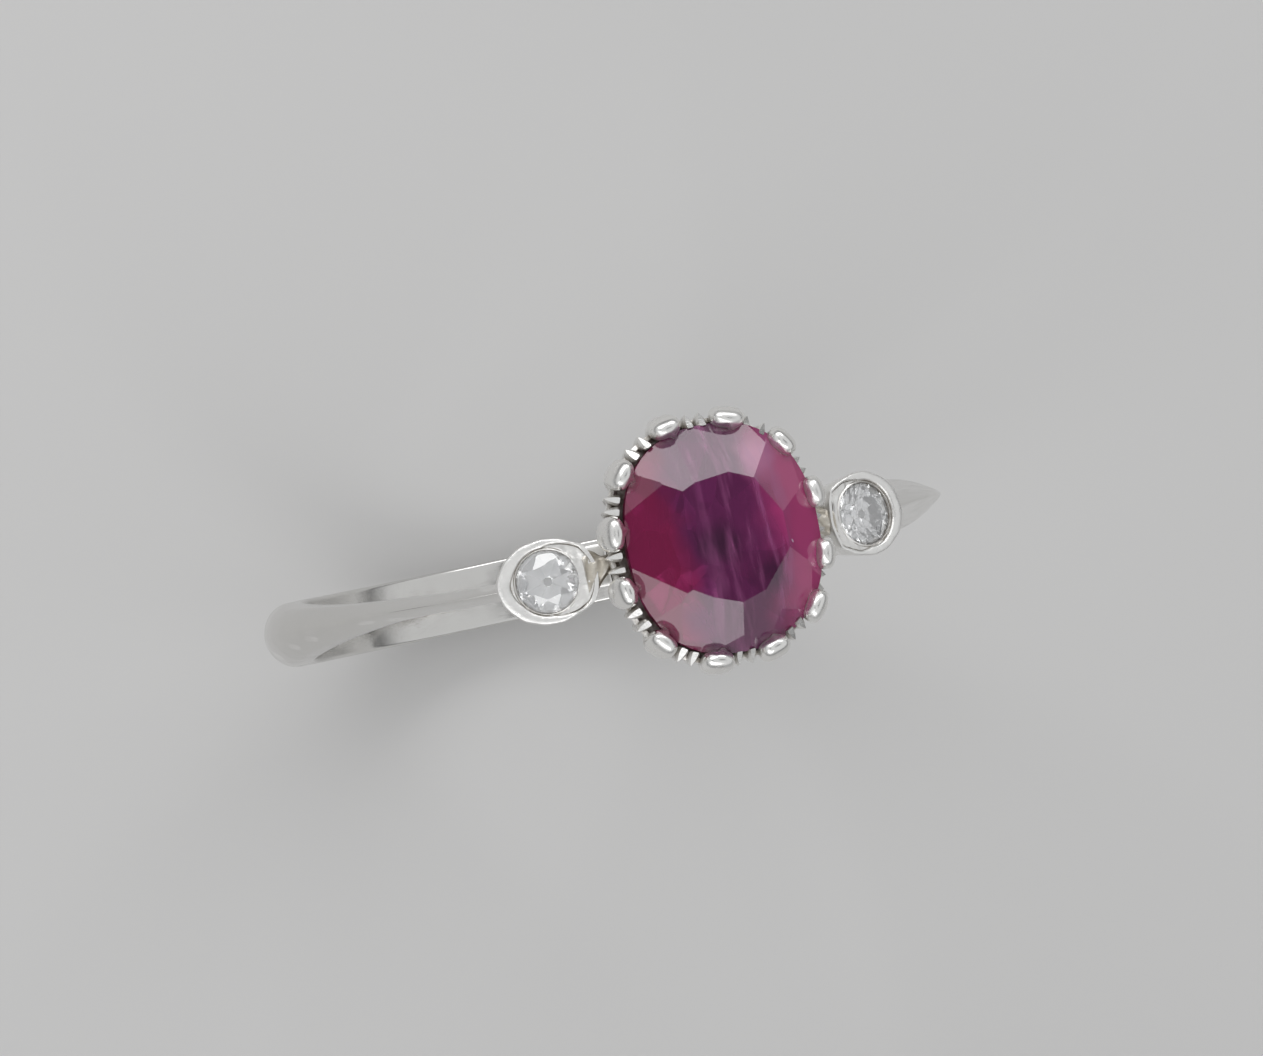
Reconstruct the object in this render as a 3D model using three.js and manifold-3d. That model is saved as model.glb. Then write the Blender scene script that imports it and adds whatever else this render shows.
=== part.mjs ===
// A three-stone cocktail ring in white metal: a cushion-cut ruby held by twelve claws in a fluted coronet,
// a round diamond in a rubbed-over collet on each side, and tapering ridged shoulders on a plain shank.
//
// Millimetres. The origin is the centre of the finger bore, +Y runs along the bore, and +Z points through
// the middle of the ruby. Left is -X and right is +X.

import * as THREE from "three";
import { mergeVertices } from "three/addons/utils/BufferGeometryUtils.js";
import Module from "manifold-3d";

const wasm = await Module();
wasm.setup();

// ---- Driving dimensions ----

const SEAM = 0.03; // solder line, or the fit of a stone in its seat

const BORE_RADIUS = 8.65;
const SHANK_WIDTH = 1.9;
const SHANK_THICKNESS = 1.3;
const SHANK_EDGE = 0.55; // height of the flat at each side of the shank
const SHOULDER_TIP_WIDTH = 0.5;
const SHOULDER_TIP_THICKNESS = 1.5; // from the bore to the ridge
const SHOULDER_END = 100; // degrees from the top of the ring to the seam with the shank
const TAPER_START = 43; // degrees from the top of the ring where the hoop begins to widen
const TAPER_END = 117; // and where it has its full width

const RUBY_WIDTH = 5.6; // along X
const RUBY_LENGTH = 6.4; // along Y
const CUSHION_POWER = 2.45; // 2 is an ellipse, and more is squarer
const RUBY_CROWN = 0.85;
const RUBY_GIRDLE = 0.16;
const RUBY_PAVILION = 2.3;
const RUBY_MAIN_SLOPE = 31; // degrees, of the eight large facets round the table
const RUBY_GIRDLE_SLOPE = 38; // the sixteen small facets above the girdle
const RUBY_STAR_SLOPE = 20; // the eight facets at the table's edge
const RUBY_STAR_DROP = 0.06; // from the table to where the star facets' planes are set
const PAVILION_SLOPE = 50; // the steepest tier below the girdle
const PAVILION_MAIN_SLOPE = 44;
const PAVILION_CULET_SLOPE = 33;
const CULET_SHARE = 0.42; // share of the girdle's reach, and height over the culet, of its last tier
const STAR_SHARE = 0.6; // share of the girdle's reach at which a star facet is set

const CLAW_COUNT = 12;
const CLAW_HEAD_WIDTH = 0.92;
const CLAW_HEAD_DEPTH = 0.6;
const CLAW_HEAD_HEIGHT = 0.62;
const CLAW_HEAD_LEAN = 18; // degrees that a head leans over the stone
const CLAW_STEM_WIDTH = 0.62;
const CLAW_FOOT_WIDTH = 0.34;
const CLAW_STEM_DEPTH = 0.34;

const CUP_HEIGHT = 2.85;
const CUP_WALL = 0.26;
const CUP_TAPER = 0.7; // how far the foot of the cup stands inside its rim
const CUP_FLARE = 1.8; // 1 is a straight wall, and more curves it out towards the foot
const RIB_HEIGHT = 0.16;
const RIB_SPLIT = 0.5; // depth of the cut between a pair of ribs
const GIRDLE_FIT = 0.04; // gap between the ruby's girdle and the cup
const GIRDLE_SINK = 0.12; // how far the girdle stands below the cup's rim
const BEARING_DROP = 0.4;
const BEARING_HEIGHT = 0.35;
const BEARING_FIT = 0.08; // gap between the bearing and the cup
const BASE_RING_HEIGHT = 0.55;
const BASE_RING_WIDTH = 0.55;

const DIAMOND_DIAMETER = 1.8;
const DIAMOND_CROWN = 0.15; // heights as shares of the diameter
const DIAMOND_PAVILION = 0.42;
const DIAMOND_GIRDLE_SHARE = 0.03;
const DIAMOND_STAR_DROP = 0.02;
const DIAMOND_MAIN_SLOPE = 34; // degrees
const DIAMOND_GIRDLE_SLOPE = 41;
const DIAMOND_STAR_SLOPE = 21;
const DIAMOND_LOWER_SLOPE = 42;
const DIAMOND_PAVILION_SLOPE = 40.5;
const COLLET_TILT = 20; // degrees that a collet leans outwards
const COLLET_HEIGHT = 2.2;
const COLLET_RIM = 0.3; // from the diamond's girdle to the outside of the collet, across the ring
const COLLET_OUTER_RIM = 0.42; // the same at the end towards the shoulder
const COLLET_HEEL = 0.3; // the same at the end towards the ruby
const COLLET_HEEL_WIDTH = 1.74;
const COLLET_FLANK = 0.45; // where the flanks begin to draw in, as a share of the way to the heel
const COLLET_WALL = 0.24;
const COLLET_TAPER = 0.26; // share of its size that a collet loses from rim to foot
const DIAMOND_SINK = 0.2; // girdle below the collet's rim
const SEAT_PLATE_HEIGHT = 0.4;
const SEAT_GAP = 0.08; // between the diamond's girdle and the plate
const SEAT_LEDGE = 0.06; // how far the plate reaches in under the girdle
const NECK_LENGTH = 0.55;
const NECK_WIDTH = 0.8;
const NECK_TOP = 0.15; // depth of the neck's top below the collet's rim
const NECK_FOOT = 0.75; // depth of its foot as a share of the collet's height
const NECK_RISE = 0.1; // how much higher the neck stands at the cup
const GALLERY_BAR_THICKNESS = 0.65;
const GALLERY_BAR_WIDTH = 1.3;

// ---- Worked out from them ----

const degrees = THREE.MathUtils.degToRad;
const CLAW_PITCH = 360 / CLAW_COUNT;

const BASE_RING_FOOT = BORE_RADIUS + SEAM;
const CUP_FOOT = BASE_RING_FOOT + BASE_RING_HEIGHT + SEAM;
const CUP_RIM = CUP_FOOT + CUP_HEIGHT;
const GIRDLE_Z = CUP_RIM - GIRDLE_SINK + RUBY_GIRDLE / 2;
const GIRDLE_FOOT = GIRDLE_Z - RUBY_GIRDLE / 2;
const RIM_OFFSET = GIRDLE_FIT + CUP_WALL; // outside of the cup's rim, from the ruby's girdle

const DIAMOND_RADIUS = DIAMOND_DIAMETER / 2;
const DIAMOND_GIRDLE = DIAMOND_GIRDLE_SHARE * DIAMOND_DIAMETER;
const BAR_TOP_RADIUS = BORE_RADIUS + GALLERY_BAR_THICKNESS;
const COLLET_FOOT = BAR_TOP_RADIUS + SEAM; // distance of the collet's foot from the bore's centre
const COLLET_REACH = DIAMOND_RADIUS + COLLET_OUTER_RIM; // diamond's centre to the outer end
const COLLET_HEEL_REACH = DIAMOND_RADIUS + COLLET_HEEL; // diamond's centre to the end at the ruby
const COLLET_X =
  RUBY_WIDTH / 2 +
  RIM_OFFSET +
  NECK_LENGTH +
  COLLET_HEEL_REACH * Math.cos(degrees(COLLET_TILT));

// ---- Solids ----

// The closed mesh of a geometry as a solid that can be joined and cut.
function solidOf(geometry) {
  const bare = geometry.clone();
  bare.deleteAttribute("normal");
  bare.deleteAttribute("uv");
  const merged = mergeVertices(bare, 1e-5);
  return new wasm.Manifold(
    new wasm.Mesh({
      numProp: 3,
      vertProperties: merged.attributes.position.array,
      triVerts: new Uint32Array(merged.index.array),
    }),
  );
}

function geometryOf(solid) {
  const { vertProperties, triVerts, numProp, numVert } = solid.getMesh();
  const position = new Float32Array(numVert * 3);
  for (let i = 0; i < numVert; i++) {
    position.set(vertProperties.subarray(i * numProp, i * numProp + 3), i * 3);
  }
  const geometry = new THREE.BufferGeometry();
  geometry.setAttribute("position", new THREE.BufferAttribute(position, 3));
  geometry.setIndex(new THREE.BufferAttribute(triVerts, 1));
  return geometry;
}

// Two triangles for each cell between loop i and loop i + 1. Every loop has the same number of points.
function bridge(loops, pairs, index) {
  const size = loops[0].length;
  for (const [a, b] of pairs) {
    for (let j = 0; j < size; j++) {
      const k = (j + 1) % size;
      index.push(a * size + j, a * size + k, b * size + k);
      index.push(a * size + j, b * size + k, b * size + j);
    }
  }
}

function indexed(loops, index) {
  const geometry = new THREE.BufferGeometry().setFromPoints(loops.flat());
  geometry.setIndex(index);
  const solid = solidOf(geometry);
  if (solid.volume() > 0) return geometry;
  for (let i = 0; i < index.length; i += 3) {
    [index[i + 1], index[i + 2]] = [index[i + 2], index[i + 1]];
  }
  return geometry.setIndex(index);
}

// A bar through a row of loops, closed by a flat fan at each end.
function barThrough(loops) {
  const size = loops[0].length;
  const last = (loops.length - 1) * size;
  const index = [];
  bridge(loops, loops.slice(1).map((_, i) => [i, i + 1]), index);
  for (let j = 1; j < size - 1; j++) {
    index.push(0, j + 1, j);
    index.push(last, last + j, last + j + 1);
  }
  return indexed(loops, index);
}

// A ring through loops that come back to the first one.
function ringThrough(loops) {
  const index = [];
  bridge(loops, loops.map((_, i) => [i, (i + 1) % loops.length]), index);
  return indexed(loops, index);
}

// ---- The cushion outline that the ruby and the coronet share ----

const across = (angle) => Math.abs(Math.cos(angle)) / (RUBY_WIDTH / 2);
const along = (angle) => Math.abs(Math.sin(angle)) / (RUBY_LENGTH / 2);

// The point of the girdle at this angle from +X, moved outwards by offset.
function cushionPoint(angle, offset = 0, z = 0) {
  const sum = across(angle) ** CUSHION_POWER + along(angle) ** CUSHION_POWER;
  const radius = sum ** (-1 / CUSHION_POWER);
  const point = new THREE.Vector3(radius * Math.cos(angle), radius * Math.sin(angle), z);
  return point.addScaledVector(cushionNormal(angle), offset);
}

function cushionNormal(angle) {
  const power = CUSHION_POWER - 1;
  return new THREE.Vector3(
    (Math.sign(Math.cos(angle)) * across(angle) ** power) / RUBY_WIDTH,
    (Math.sign(Math.sin(angle)) * along(angle) ** power) / RUBY_LENGTH,
    0,
  ).normalize();
}

// ---- Gem cutting ----

const SLAB = 40; // larger than any stone
const SIXTEENTH = 360 / 16;

// Cuts a flat at an azimuth and slope in degrees, so that it passes through the height z where a stone
// that is reach wide in that direction has its edge. A slope over 90 cuts the pavilion.
function cutFacet(stone, azimuth, slope, reach, z) {
  const slab = new THREE.BoxGeometry(SLAB, SLAB, SLAB);
  slab.translate(0, 0, SLAB / 2);
  slab.rotateY(degrees(slope));
  slab.rotateZ(degrees(azimuth));
  const outwards = new THREE.Vector3(reach, 0, z);
  outwards.applyAxisAngle(new THREE.Vector3(0, 0, 1), degrees(azimuth));
  slab.translate(outwards.x, outwards.y, outwards.z);
  return stone.subtract(solidOf(slab));
}

// A stone with its girdle centred on the origin. reachAt(azimuth) is how far the girdle extends in that
// direction. Each tier is a ring of facets: how many, the azimuth of the first, the slope, the share of
// the reach that they pass through, and at what height.
function cutStone(girdle, reachAt, tiers) {
  let stone = solidOf(girdle);
  for (const { count, first, slope, share = 1, z } of tiers) {
    for (let i = 0; i < count; i++) {
      const azimuth = first + (360 / count) * i;
      stone = cutFacet(stone, azimuth, slope, share * reachAt(azimuth), z);
    }
  }
  return stone;
}

function prism(points, low, high) {
  const shape = new THREE.Shape(points.map((p) => new THREE.Vector2(p.x, p.y)));
  const geometry = new THREE.ExtrudeGeometry(shape, { depth: high - low, bevelEnabled: false });
  geometry.translate(0, 0, low);
  return geometry;
}

// The ruby, grown all round by grow, in its own frame with the girdle at z = 0.
function rubySolid(grow) {
  const outline = Array.from({ length: 32 }, (_, i) => cushionPoint(degrees((SIXTEENTH / 2) * i), grow));
  const reachAt = (azimuth) => {
    const way = new THREE.Vector3(1, 0, 0).applyAxisAngle(new THREE.Vector3(0, 0, 1), degrees(azimuth));
    return Math.max(...outline.map((p) => p.dot(way)));
  };
  const half = RUBY_GIRDLE / 2 + grow;
  const top = half + RUBY_CROWN;
  const bottom = -half - RUBY_PAVILION;
  return cutStone(prism(outline, bottom, top), reachAt, [
    { count: 8, first: 0, slope: RUBY_MAIN_SLOPE, z: half },
    { count: 16, first: SIXTEENTH / 2, slope: RUBY_GIRDLE_SLOPE, z: half },
    { count: 8, first: SIXTEENTH, slope: RUBY_STAR_SLOPE, share: STAR_SHARE, z: top - RUBY_STAR_DROP },
    { count: 16, first: SIXTEENTH / 2, slope: 180 - PAVILION_SLOPE, z: -half },
    { count: 8, first: 0, slope: 180 - PAVILION_MAIN_SLOPE, z: -half },
    {
      count: 8,
      first: SIXTEENTH,
      slope: 180 - PAVILION_CULET_SLOPE,
      share: CULET_SHARE,
      z: bottom + CULET_SHARE,
    },
  ]);
}

// A round brilliant in its own frame, with the girdle at z = 0.
function diamondSolid() {
  const outline = Array.from({ length: 16 }, (_, i) => {
    const angle = degrees(SIXTEENTH * i);
    return new THREE.Vector3(DIAMOND_RADIUS * Math.cos(angle), DIAMOND_RADIUS * Math.sin(angle), 0);
  });
  const half = DIAMOND_GIRDLE / 2;
  const top = half + DIAMOND_CROWN * DIAMOND_DIAMETER;
  const bottom = -half - DIAMOND_PAVILION * DIAMOND_DIAMETER;
  const starZ = top - DIAMOND_STAR_DROP * DIAMOND_DIAMETER;
  return cutStone(prism(outline, bottom, top), () => DIAMOND_RADIUS, [
    { count: 8, first: 0, slope: DIAMOND_MAIN_SLOPE, z: half },
    { count: 16, first: SIXTEENTH / 2, slope: DIAMOND_GIRDLE_SLOPE, z: half },
    { count: 8, first: SIXTEENTH, slope: DIAMOND_STAR_SLOPE, share: STAR_SHARE, z: starZ },
    { count: 16, first: SIXTEENTH / 2, slope: 180 - DIAMOND_LOWER_SLOPE, z: -half },
    { count: 8, first: 0, slope: 180 - DIAMOND_PAVILION_SLOPE, z: -half },
  ]);
}

// ---- Coronet: fluted cup, base ring, bearing and claws ----

// Outside of the cup's plain wall, as an offset from the girdle's outline.
function cupOffset(z) {
  const height = THREE.MathUtils.clamp((z - CUP_FOOT) / CUP_HEIGHT, 0, 1);
  return RIM_OFFSET - CUP_TAPER * (1 - height) ** CUP_FLARE;
}

// Corners of the cup's wall from one claw to the next, as shares of the half gap between the two claws:
// two ribs with a cut between them.
const RIB_FROM = 0.24;
const RIB_TO = 0.4;
const CUT_EDGE = 0.1;
const RIB_FLANK = 0.52;
const FLUTE_STEPS = [-1, -RIB_FLANK, -RIB_TO, -RIB_FROM, -CUT_EDGE, CUT_EDGE, RIB_FROM, RIB_TO, RIB_FLANK];
const WALL_LEVELS = [0, 0.4, 1]; // shares of the height at which walls and stems have a corner

const isRib = (step) => Math.abs(step) >= RIB_FROM && Math.abs(step) <= RIB_TO;
const isCut = (step) => Math.abs(step) < RIB_FROM;

// The cup's section at one of the corners between two claws.
function cupSection(gap, step) {
  const angle = degrees((gap + step / 2) * CLAW_PITCH);
  const rim = isCut(step) ? CUP_RIM - RIB_SPLIT : CUP_RIM;
  const rib = isRib(step) ? RIB_HEIGHT : 0;
  const pointAt = (share, offset) => {
    const z = THREE.MathUtils.lerp(CUP_FOOT, rim, share);
    return cushionPoint(angle, cupOffset(z) + offset, z);
  };
  const outside = WALL_LEVELS.map((share) => pointAt(share, rib * share));
  const inside = WALL_LEVELS.map((share) => pointAt(share, -CUP_WALL)).reverse();
  return [...outside, ...inside];
}

function coronetCup(clawSlots) {
  const loops = [];
  for (let gap = 0; gap < CLAW_COUNT; gap++) {
    for (const step of FLUTE_STEPS) loops.push(cupSection(gap, step));
  }
  let cup = solidOf(ringThrough(loops));
  for (const slot of clawSlots) cup = cup.subtract(slot);
  return geometryOf(cup);
}

// A flat-topped ring that follows the cushion outline, between two offsets at each of its two faces.
function cushionRing({ foot, top, outsideFoot, outsideTop, insideFoot, insideTop }) {
  const count = 36;
  const loops = Array.from({ length: count }, (_, i) => {
    const angle = ((2 * Math.PI) / count) * i;
    return [
      cushionPoint(angle, outsideFoot, foot),
      cushionPoint(angle, outsideTop, top),
      cushionPoint(angle, insideTop, top),
      cushionPoint(angle, insideFoot, foot),
    ];
  });
  return ringThrough(loops);
}

function coronetBaseRing() {
  const outside = cupOffset(CUP_FOOT);
  return cushionRing({
    foot: BASE_RING_FOOT,
    top: BASE_RING_FOOT + BASE_RING_HEIGHT,
    outsideFoot: outside,
    outsideTop: outside,
    insideFoot: outside - BASE_RING_WIDTH,
    insideTop: outside - BASE_RING_WIDTH,
  });
}

function rubyBearing() {
  const top = GIRDLE_FOOT - BEARING_DROP;
  const foot = top - BEARING_HEIGHT;
  const stoneAtTop = -BEARING_DROP / Math.tan(degrees(PAVILION_SLOPE));
  return cushionRing({
    foot,
    top,
    outsideFoot: cupOffset(foot) - CUP_WALL - BEARING_FIT,
    outsideTop: cupOffset(top) - CUP_WALL - BEARING_FIT,
    insideFoot: stoneAtTop + SEAM,
    insideTop: stoneAtTop + SEAM,
  });
}

// One claw at an angle from +X: a stem let into the cup's wall, and a rounded head pressed over the
// girdle. grow makes the larger copy that cuts the stem's slot in the cup.
function clawSolid(angle, grow) {
  const foot = cushionPoint(angle);
  const normal = cushionNormal(angle);
  const sideways = new THREE.Vector3(-normal.y, normal.x, 0);
  const place = (side, offset, z) =>
    foot.clone().addScaledVector(normal, offset).addScaledVector(sideways, side).setZ(z);

  const headZ = CUP_RIM + CLAW_HEAD_HEIGHT / 4;
  const stem = WALL_LEVELS.map((share) => {
    const z = THREE.MathUtils.lerp(CUP_FOOT - grow, headZ, share);
    const width = THREE.MathUtils.lerp(CLAW_FOOT_WIDTH, CLAW_STEM_WIDTH, share) / 2 + grow;
    const outer = cupOffset(z) + RIB_HEIGHT * share + grow;
    const inner = outer - CLAW_STEM_DEPTH - 2 * grow;
    return [
      place(-width, inner, z),
      place(width, inner, z),
      place(width, (inner + outer) / 2, z),
      place(width / 2, outer, z),
      place(-width / 2, outer, z),
      place(-width, (inner + outer) / 2, z),
    ];
  });

  const head = new THREE.SphereGeometry(0.5, 10, 6);
  head.rotateX(Math.PI / 2);
  head.scale(CLAW_HEAD_DEPTH + 2 * grow, CLAW_HEAD_WIDTH + 2 * grow, CLAW_HEAD_HEIGHT + 2 * grow);
  head.rotateY(degrees(-CLAW_HEAD_LEAN));
  head.rotateZ(Math.atan2(normal.y, normal.x));
  const middle = place(0, RIM_OFFSET + RIB_HEIGHT - CLAW_HEAD_DEPTH / 2, headZ);
  head.translate(middle.x, middle.y, middle.z);

  return solidOf(barThrough(stem)).add(solidOf(head));
}

// ---- Side collets ----

// Size of the collet at this depth below its rim, as a share of its size at the rim.
const colletScale = (depth) => 1 - (COLLET_TAPER * depth) / COLLET_HEIGHT;

// Outline of a collet, inset from its outside. Its own +X points at the ruby and its centre is the
// diamond's centre: round at the far end, and tapering to a flat heel at the near end.
function colletOutline(inset) {
  const side = DIAMOND_RADIUS + COLLET_RIM - inset;
  const heel = COLLET_HEEL_REACH - inset;
  const heelSide = COLLET_HEEL_WIDTH / 2 - inset;
  const shoulderX = heel * COLLET_FLANK;
  const shape = new THREE.Shape();
  shape.moveTo(heel, heelSide);
  shape.quadraticCurveTo(shoulderX, side, 0, side);
  shape.absellipse(0, 0, COLLET_REACH - inset, side, Math.PI / 2, (3 * Math.PI) / 2, false);
  shape.quadraticCurveTo(shoulderX, -side, heel, -heelSide);
  return shape.getPoints(8);
}

// A wall or plate between two depths below the rim, inset from the collet's outside and tapering with it.
function colletLayer(inset, shallow, deep) {
  const outline = colletOutline(inset);
  const loops = [shallow, deep].map((depth) =>
    outline.map((p) => new THREE.Vector3(p.x * colletScale(depth), p.y * colletScale(depth), -depth)),
  );
  return solidOf(barThrough(loops));
}

function colletWall() {
  const outside = colletLayer(0, 0, COLLET_HEIGHT);
  const inside = colletLayer(COLLET_WALL, -1, COLLET_HEIGHT + 1);
  return geometryOf(outside.subtract(inside));
}

// From the rim to the top of the plate that the diamond's pavilion passes through.
const SEAT_DEPTH = DIAMOND_SINK + DIAMOND_GIRDLE / 2 + SEAT_GAP;
const SEAT_HOLE_RADIUS = DIAMOND_RADIUS - SEAT_LEDGE;

function seatPlate() {
  const plate = colletLayer(COLLET_WALL + SEAM, SEAT_DEPTH, SEAT_DEPTH + SEAT_PLATE_HEIGHT);
  const hole = new THREE.CylinderGeometry(SEAT_HOLE_RADIUS, SEAT_HOLE_RADIUS, 4, 32);
  hole.rotateX(Math.PI / 2);
  return geometryOf(plate.subtract(solidOf(hole)));
}

// The neck fills the gap between a collet's heel and the cup, between the two claws there. It is drawn in
// the X-Z plane of the right-hand side and given its width along Y.
function neck() {
  const tilt = degrees(COLLET_TILT);
  const rim = colletRimCentre();
  const heelAt = (depth) => {
    const reach = COLLET_HEEL_REACH * colletScale(depth) + SEAM;
    return new THREE.Vector2(
      rim.x - reach * Math.cos(tilt) - depth * Math.sin(tilt),
      rim.z + reach * Math.sin(tilt) - depth * Math.cos(tilt),
    );
  };
  const cupAt = (z) =>
    new THREE.Vector2(RUBY_WIDTH / 2 + cupOffset(z) + RIB_HEIGHT + SEAM, z);
  const high = heelAt(NECK_TOP);
  const low = heelAt(COLLET_HEIGHT * NECK_FOOT);
  const outline = [low, high, cupAt(high.y + NECK_RISE), cupAt((high.y + low.y) / 2), cupAt(low.y)];
  const geometry = new THREE.ExtrudeGeometry(new THREE.Shape(outline), {
    depth: NECK_WIDTH,
    bevelEnabled: false,
  });
  geometry.translate(0, 0, -NECK_WIDTH / 2);
  geometry.rotateX(Math.PI / 2);
  return geometry;
}

// Centre of the right-hand collet's rim. The collet's foot lies flat on the gallery bar.
function colletRimCentre() {
  const tilt = degrees(COLLET_TILT);
  const height = COLLET_FOOT + COLLET_HEIGHT;
  const sideways = (COLLET_X - height * Math.sin(tilt)) / Math.cos(tilt);
  return new THREE.Vector3(COLLET_X, 0, height * Math.cos(tilt) - sideways * Math.sin(tilt));
}

// Degrees from the top of the ring to the outer end of a collet, where the shoulder starts.
function shoulderStart() {
  const tilt = degrees(COLLET_TILT);
  const rim = colletRimCentre();
  const ends = [0, COLLET_HEIGHT].map((depth) => {
    const reach = COLLET_REACH * colletScale(depth) + SEAM;
    const x = rim.x + reach * Math.cos(tilt) - depth * Math.sin(tilt);
    const z = rim.z - reach * Math.sin(tilt) - depth * Math.cos(tilt);
    return THREE.MathUtils.radToDeg(Math.atan2(x, z));
  });
  return Math.max(...ends);
}

// ---- Shank, shoulders and gallery bars ----

const SEAM_ANGLE = THREE.MathUtils.radToDeg(SEAM / BORE_RADIUS);
const SHOULDER_START = shoulderStart() + SEAM_ANGLE;

// A point of the hoop: angle in degrees from the top of the ring towards +X, radius, and place along Y.
function hoopPoint(angle, radius, y) {
  return new THREE.Vector3(radius * Math.sin(degrees(angle)), y, radius * Math.cos(degrees(angle)));
}

// How far the hoop has widened from the shoulder's tip to the shank, from 0 to 1.
const widened = (angle) => THREE.MathUtils.smoothstep(angle, TAPER_START, TAPER_END);

const SHANK_STEP = 5; // degrees between sections
const SHOULDER_STEP = 4;

// Places across the crown as shares of the half width, and how straight a ridge's flanks are.
const CROWN_PLACES = [-1, -0.88, -0.6, 0, 0.6, 0.88, 1];
const RIDGE_POWER = 1.25;

// The hoop's section at an angle from the top: flat inside, a flat at each side, and a crown that goes
// from a ridge at the shoulder's tip to a dome on the shank.
function hoopSection(angle) {
  const share = widened(Math.min(angle, 360 - angle));
  const half = THREE.MathUtils.lerp(SHOULDER_TIP_WIDTH, SHANK_WIDTH, share) / 2;
  const thickness = THREE.MathUtils.lerp(SHOULDER_TIP_THICKNESS, SHANK_THICKNESS, share);
  const crown = CROWN_PLACES.map((place) => {
    const ridge = 1 - Math.abs(place) ** RIDGE_POWER;
    const dome = Math.sqrt(1 - place * place);
    const rise = (thickness - SHANK_EDGE) * THREE.MathUtils.lerp(ridge, dome, share);
    return hoopPoint(angle, BORE_RADIUS + SHANK_EDGE + rise, place * half);
  });
  return [hoopPoint(angle, BORE_RADIUS, half), hoopPoint(angle, BORE_RADIUS, -half), ...crown];
}

// The hoop between two angles from the top, with a section at about every step.
function hoopPiece(from, to, step) {
  const count = Math.ceil((to - from) / step);
  const angles = Array.from({ length: count + 1 }, (_, i) => THREE.MathUtils.lerp(from, to, i / count));
  return barThrough(angles.map(hoopSection));
}

// A strip on the bore under a collet, from the coronet's base ring to the shoulder.
function galleryBar() {
  const baseRing = RUBY_WIDTH / 2 + cupOffset(CUP_FOOT) + SEAM;
  const from = THREE.MathUtils.radToDeg(Math.atan(baseRing / BASE_RING_FOOT));
  const to = SHOULDER_START - SEAM_ANGLE;
  const count = 4;
  const half = GALLERY_BAR_WIDTH / 2;
  const loops = Array.from({ length: count + 1 }, (_, i) => {
    const angle = THREE.MathUtils.lerp(from, to, i / count);
    return [
      hoopPoint(angle, BORE_RADIUS, half),
      hoopPoint(angle, BORE_RADIUS, -half),
      hoopPoint(angle, BAR_TOP_RADIUS, -half),
      hoopPoint(angle, BAR_TOP_RADIUS, half),
    ];
  });
  return barThrough(loops);
}

// ---- Assembly ----

const whiteMetal = new THREE.MeshStandardMaterial({ color: 0xd9d7d2, roughness: 0.18, metalness: 1 });
const rubyRed = new THREE.MeshStandardMaterial({ color: 0x8f1f55, roughness: 0.05, metalness: 0 });
const diamondWhite = new THREE.MeshStandardMaterial({ color: 0xeef0f2, roughness: 0.02, metalness: 0 });

function piece(name, geometry, material) {
  const mesh = new THREE.Mesh(geometry, material);
  mesh.name = name;
  return mesh;
}

// A copy of a right-hand geometry turned half round the Z axis, for the left-hand side.
const turned = (geometry) => geometry.clone().rotateZ(Math.PI);

const ring = new THREE.Group();

const rubyCutter = rubySolid(SEAM).translate(0, 0, GIRDLE_Z);
const clawAngles = Array.from({ length: CLAW_COUNT }, (_, i) => degrees((i + 0.5) * CLAW_PITCH));
const clawSlots = clawAngles.map((angle) => clawSolid(angle, SEAM));
clawAngles.forEach((angle, i) => {
  const claw = clawSolid(angle, 0).subtract(rubyCutter);
  ring.add(piece(`claw_${String(i + 1).padStart(2, "0")}`, geometryOf(claw), whiteMetal));
});
ring.add(piece("coronet_cup", coronetCup(clawSlots), whiteMetal));
ring.add(piece("coronet_base_ring", coronetBaseRing(), whiteMetal));
ring.add(piece("ruby_bearing", rubyBearing(), whiteMetal));
const ruby = piece("ruby", geometryOf(rubySolid(0)), rubyRed);
ruby.position.z = GIRDLE_Z;
ring.add(ruby);

const shank = hoopPiece(SHOULDER_END + SEAM_ANGLE, 360 - SHOULDER_END - SEAM_ANGLE, SHANK_STEP);
ring.add(piece("shank", shank, whiteMetal));
const shoulder = hoopPiece(SHOULDER_START, SHOULDER_END, SHOULDER_STEP);
const bar = galleryBar();
const neckBlock = neck();
const sides = [
  ["right", (geometry) => geometry],
  ["left", turned],
];
for (const [side, place] of sides) {
  ring.add(piece(`${side}_shoulder`, place(shoulder), whiteMetal));
  ring.add(piece(`${side}_gallery_bar`, place(bar), whiteMetal));
  ring.add(piece(`${side}_neck`, place(neckBlock), whiteMetal));

  const collet = new THREE.Group();
  const centre = colletRimCentre();
  const way = side === "right" ? 1 : -1;
  collet.position.set(way * centre.x, 0, centre.z);
  collet.rotation.y = way * degrees(COLLET_TILT);
  collet.rotation.order = "YXZ";
  collet.rotation.z = side === "right" ? Math.PI : 0;
  collet.add(piece(`${side}_collet`, colletWall(), whiteMetal));
  collet.add(piece(`${side}_seat_plate`, seatPlate(), whiteMetal));
  const diamond = piece(`${side}_diamond`, geometryOf(diamondSolid()), diamondWhite);
  diamond.position.z = -DIAMOND_SINK;
  collet.add(diamond);
  ring.add(collet);
}

export default ring;
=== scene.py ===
"""Looks of a three-stone dress ring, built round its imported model.

A cushion-cut ruby sits in a coronet of twelve claws, with a round diamond in a rubbed-over collet on each
side, on ridged shoulders that widen into a plain shank. Each class below is one sub-assembly: its fields are
its sizes, and its methods build its meshes and dress them. Inside the classes lengths are millimetres, in
the model's frame: origin at the centre of the finger bore, +Y along the bore, +Z through the ruby.
"""

import logging
import math
from dataclasses import dataclass
from enum import Enum
from typing import Sequence

import bmesh
import bpy
from mathutils import Matrix, Vector


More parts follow.
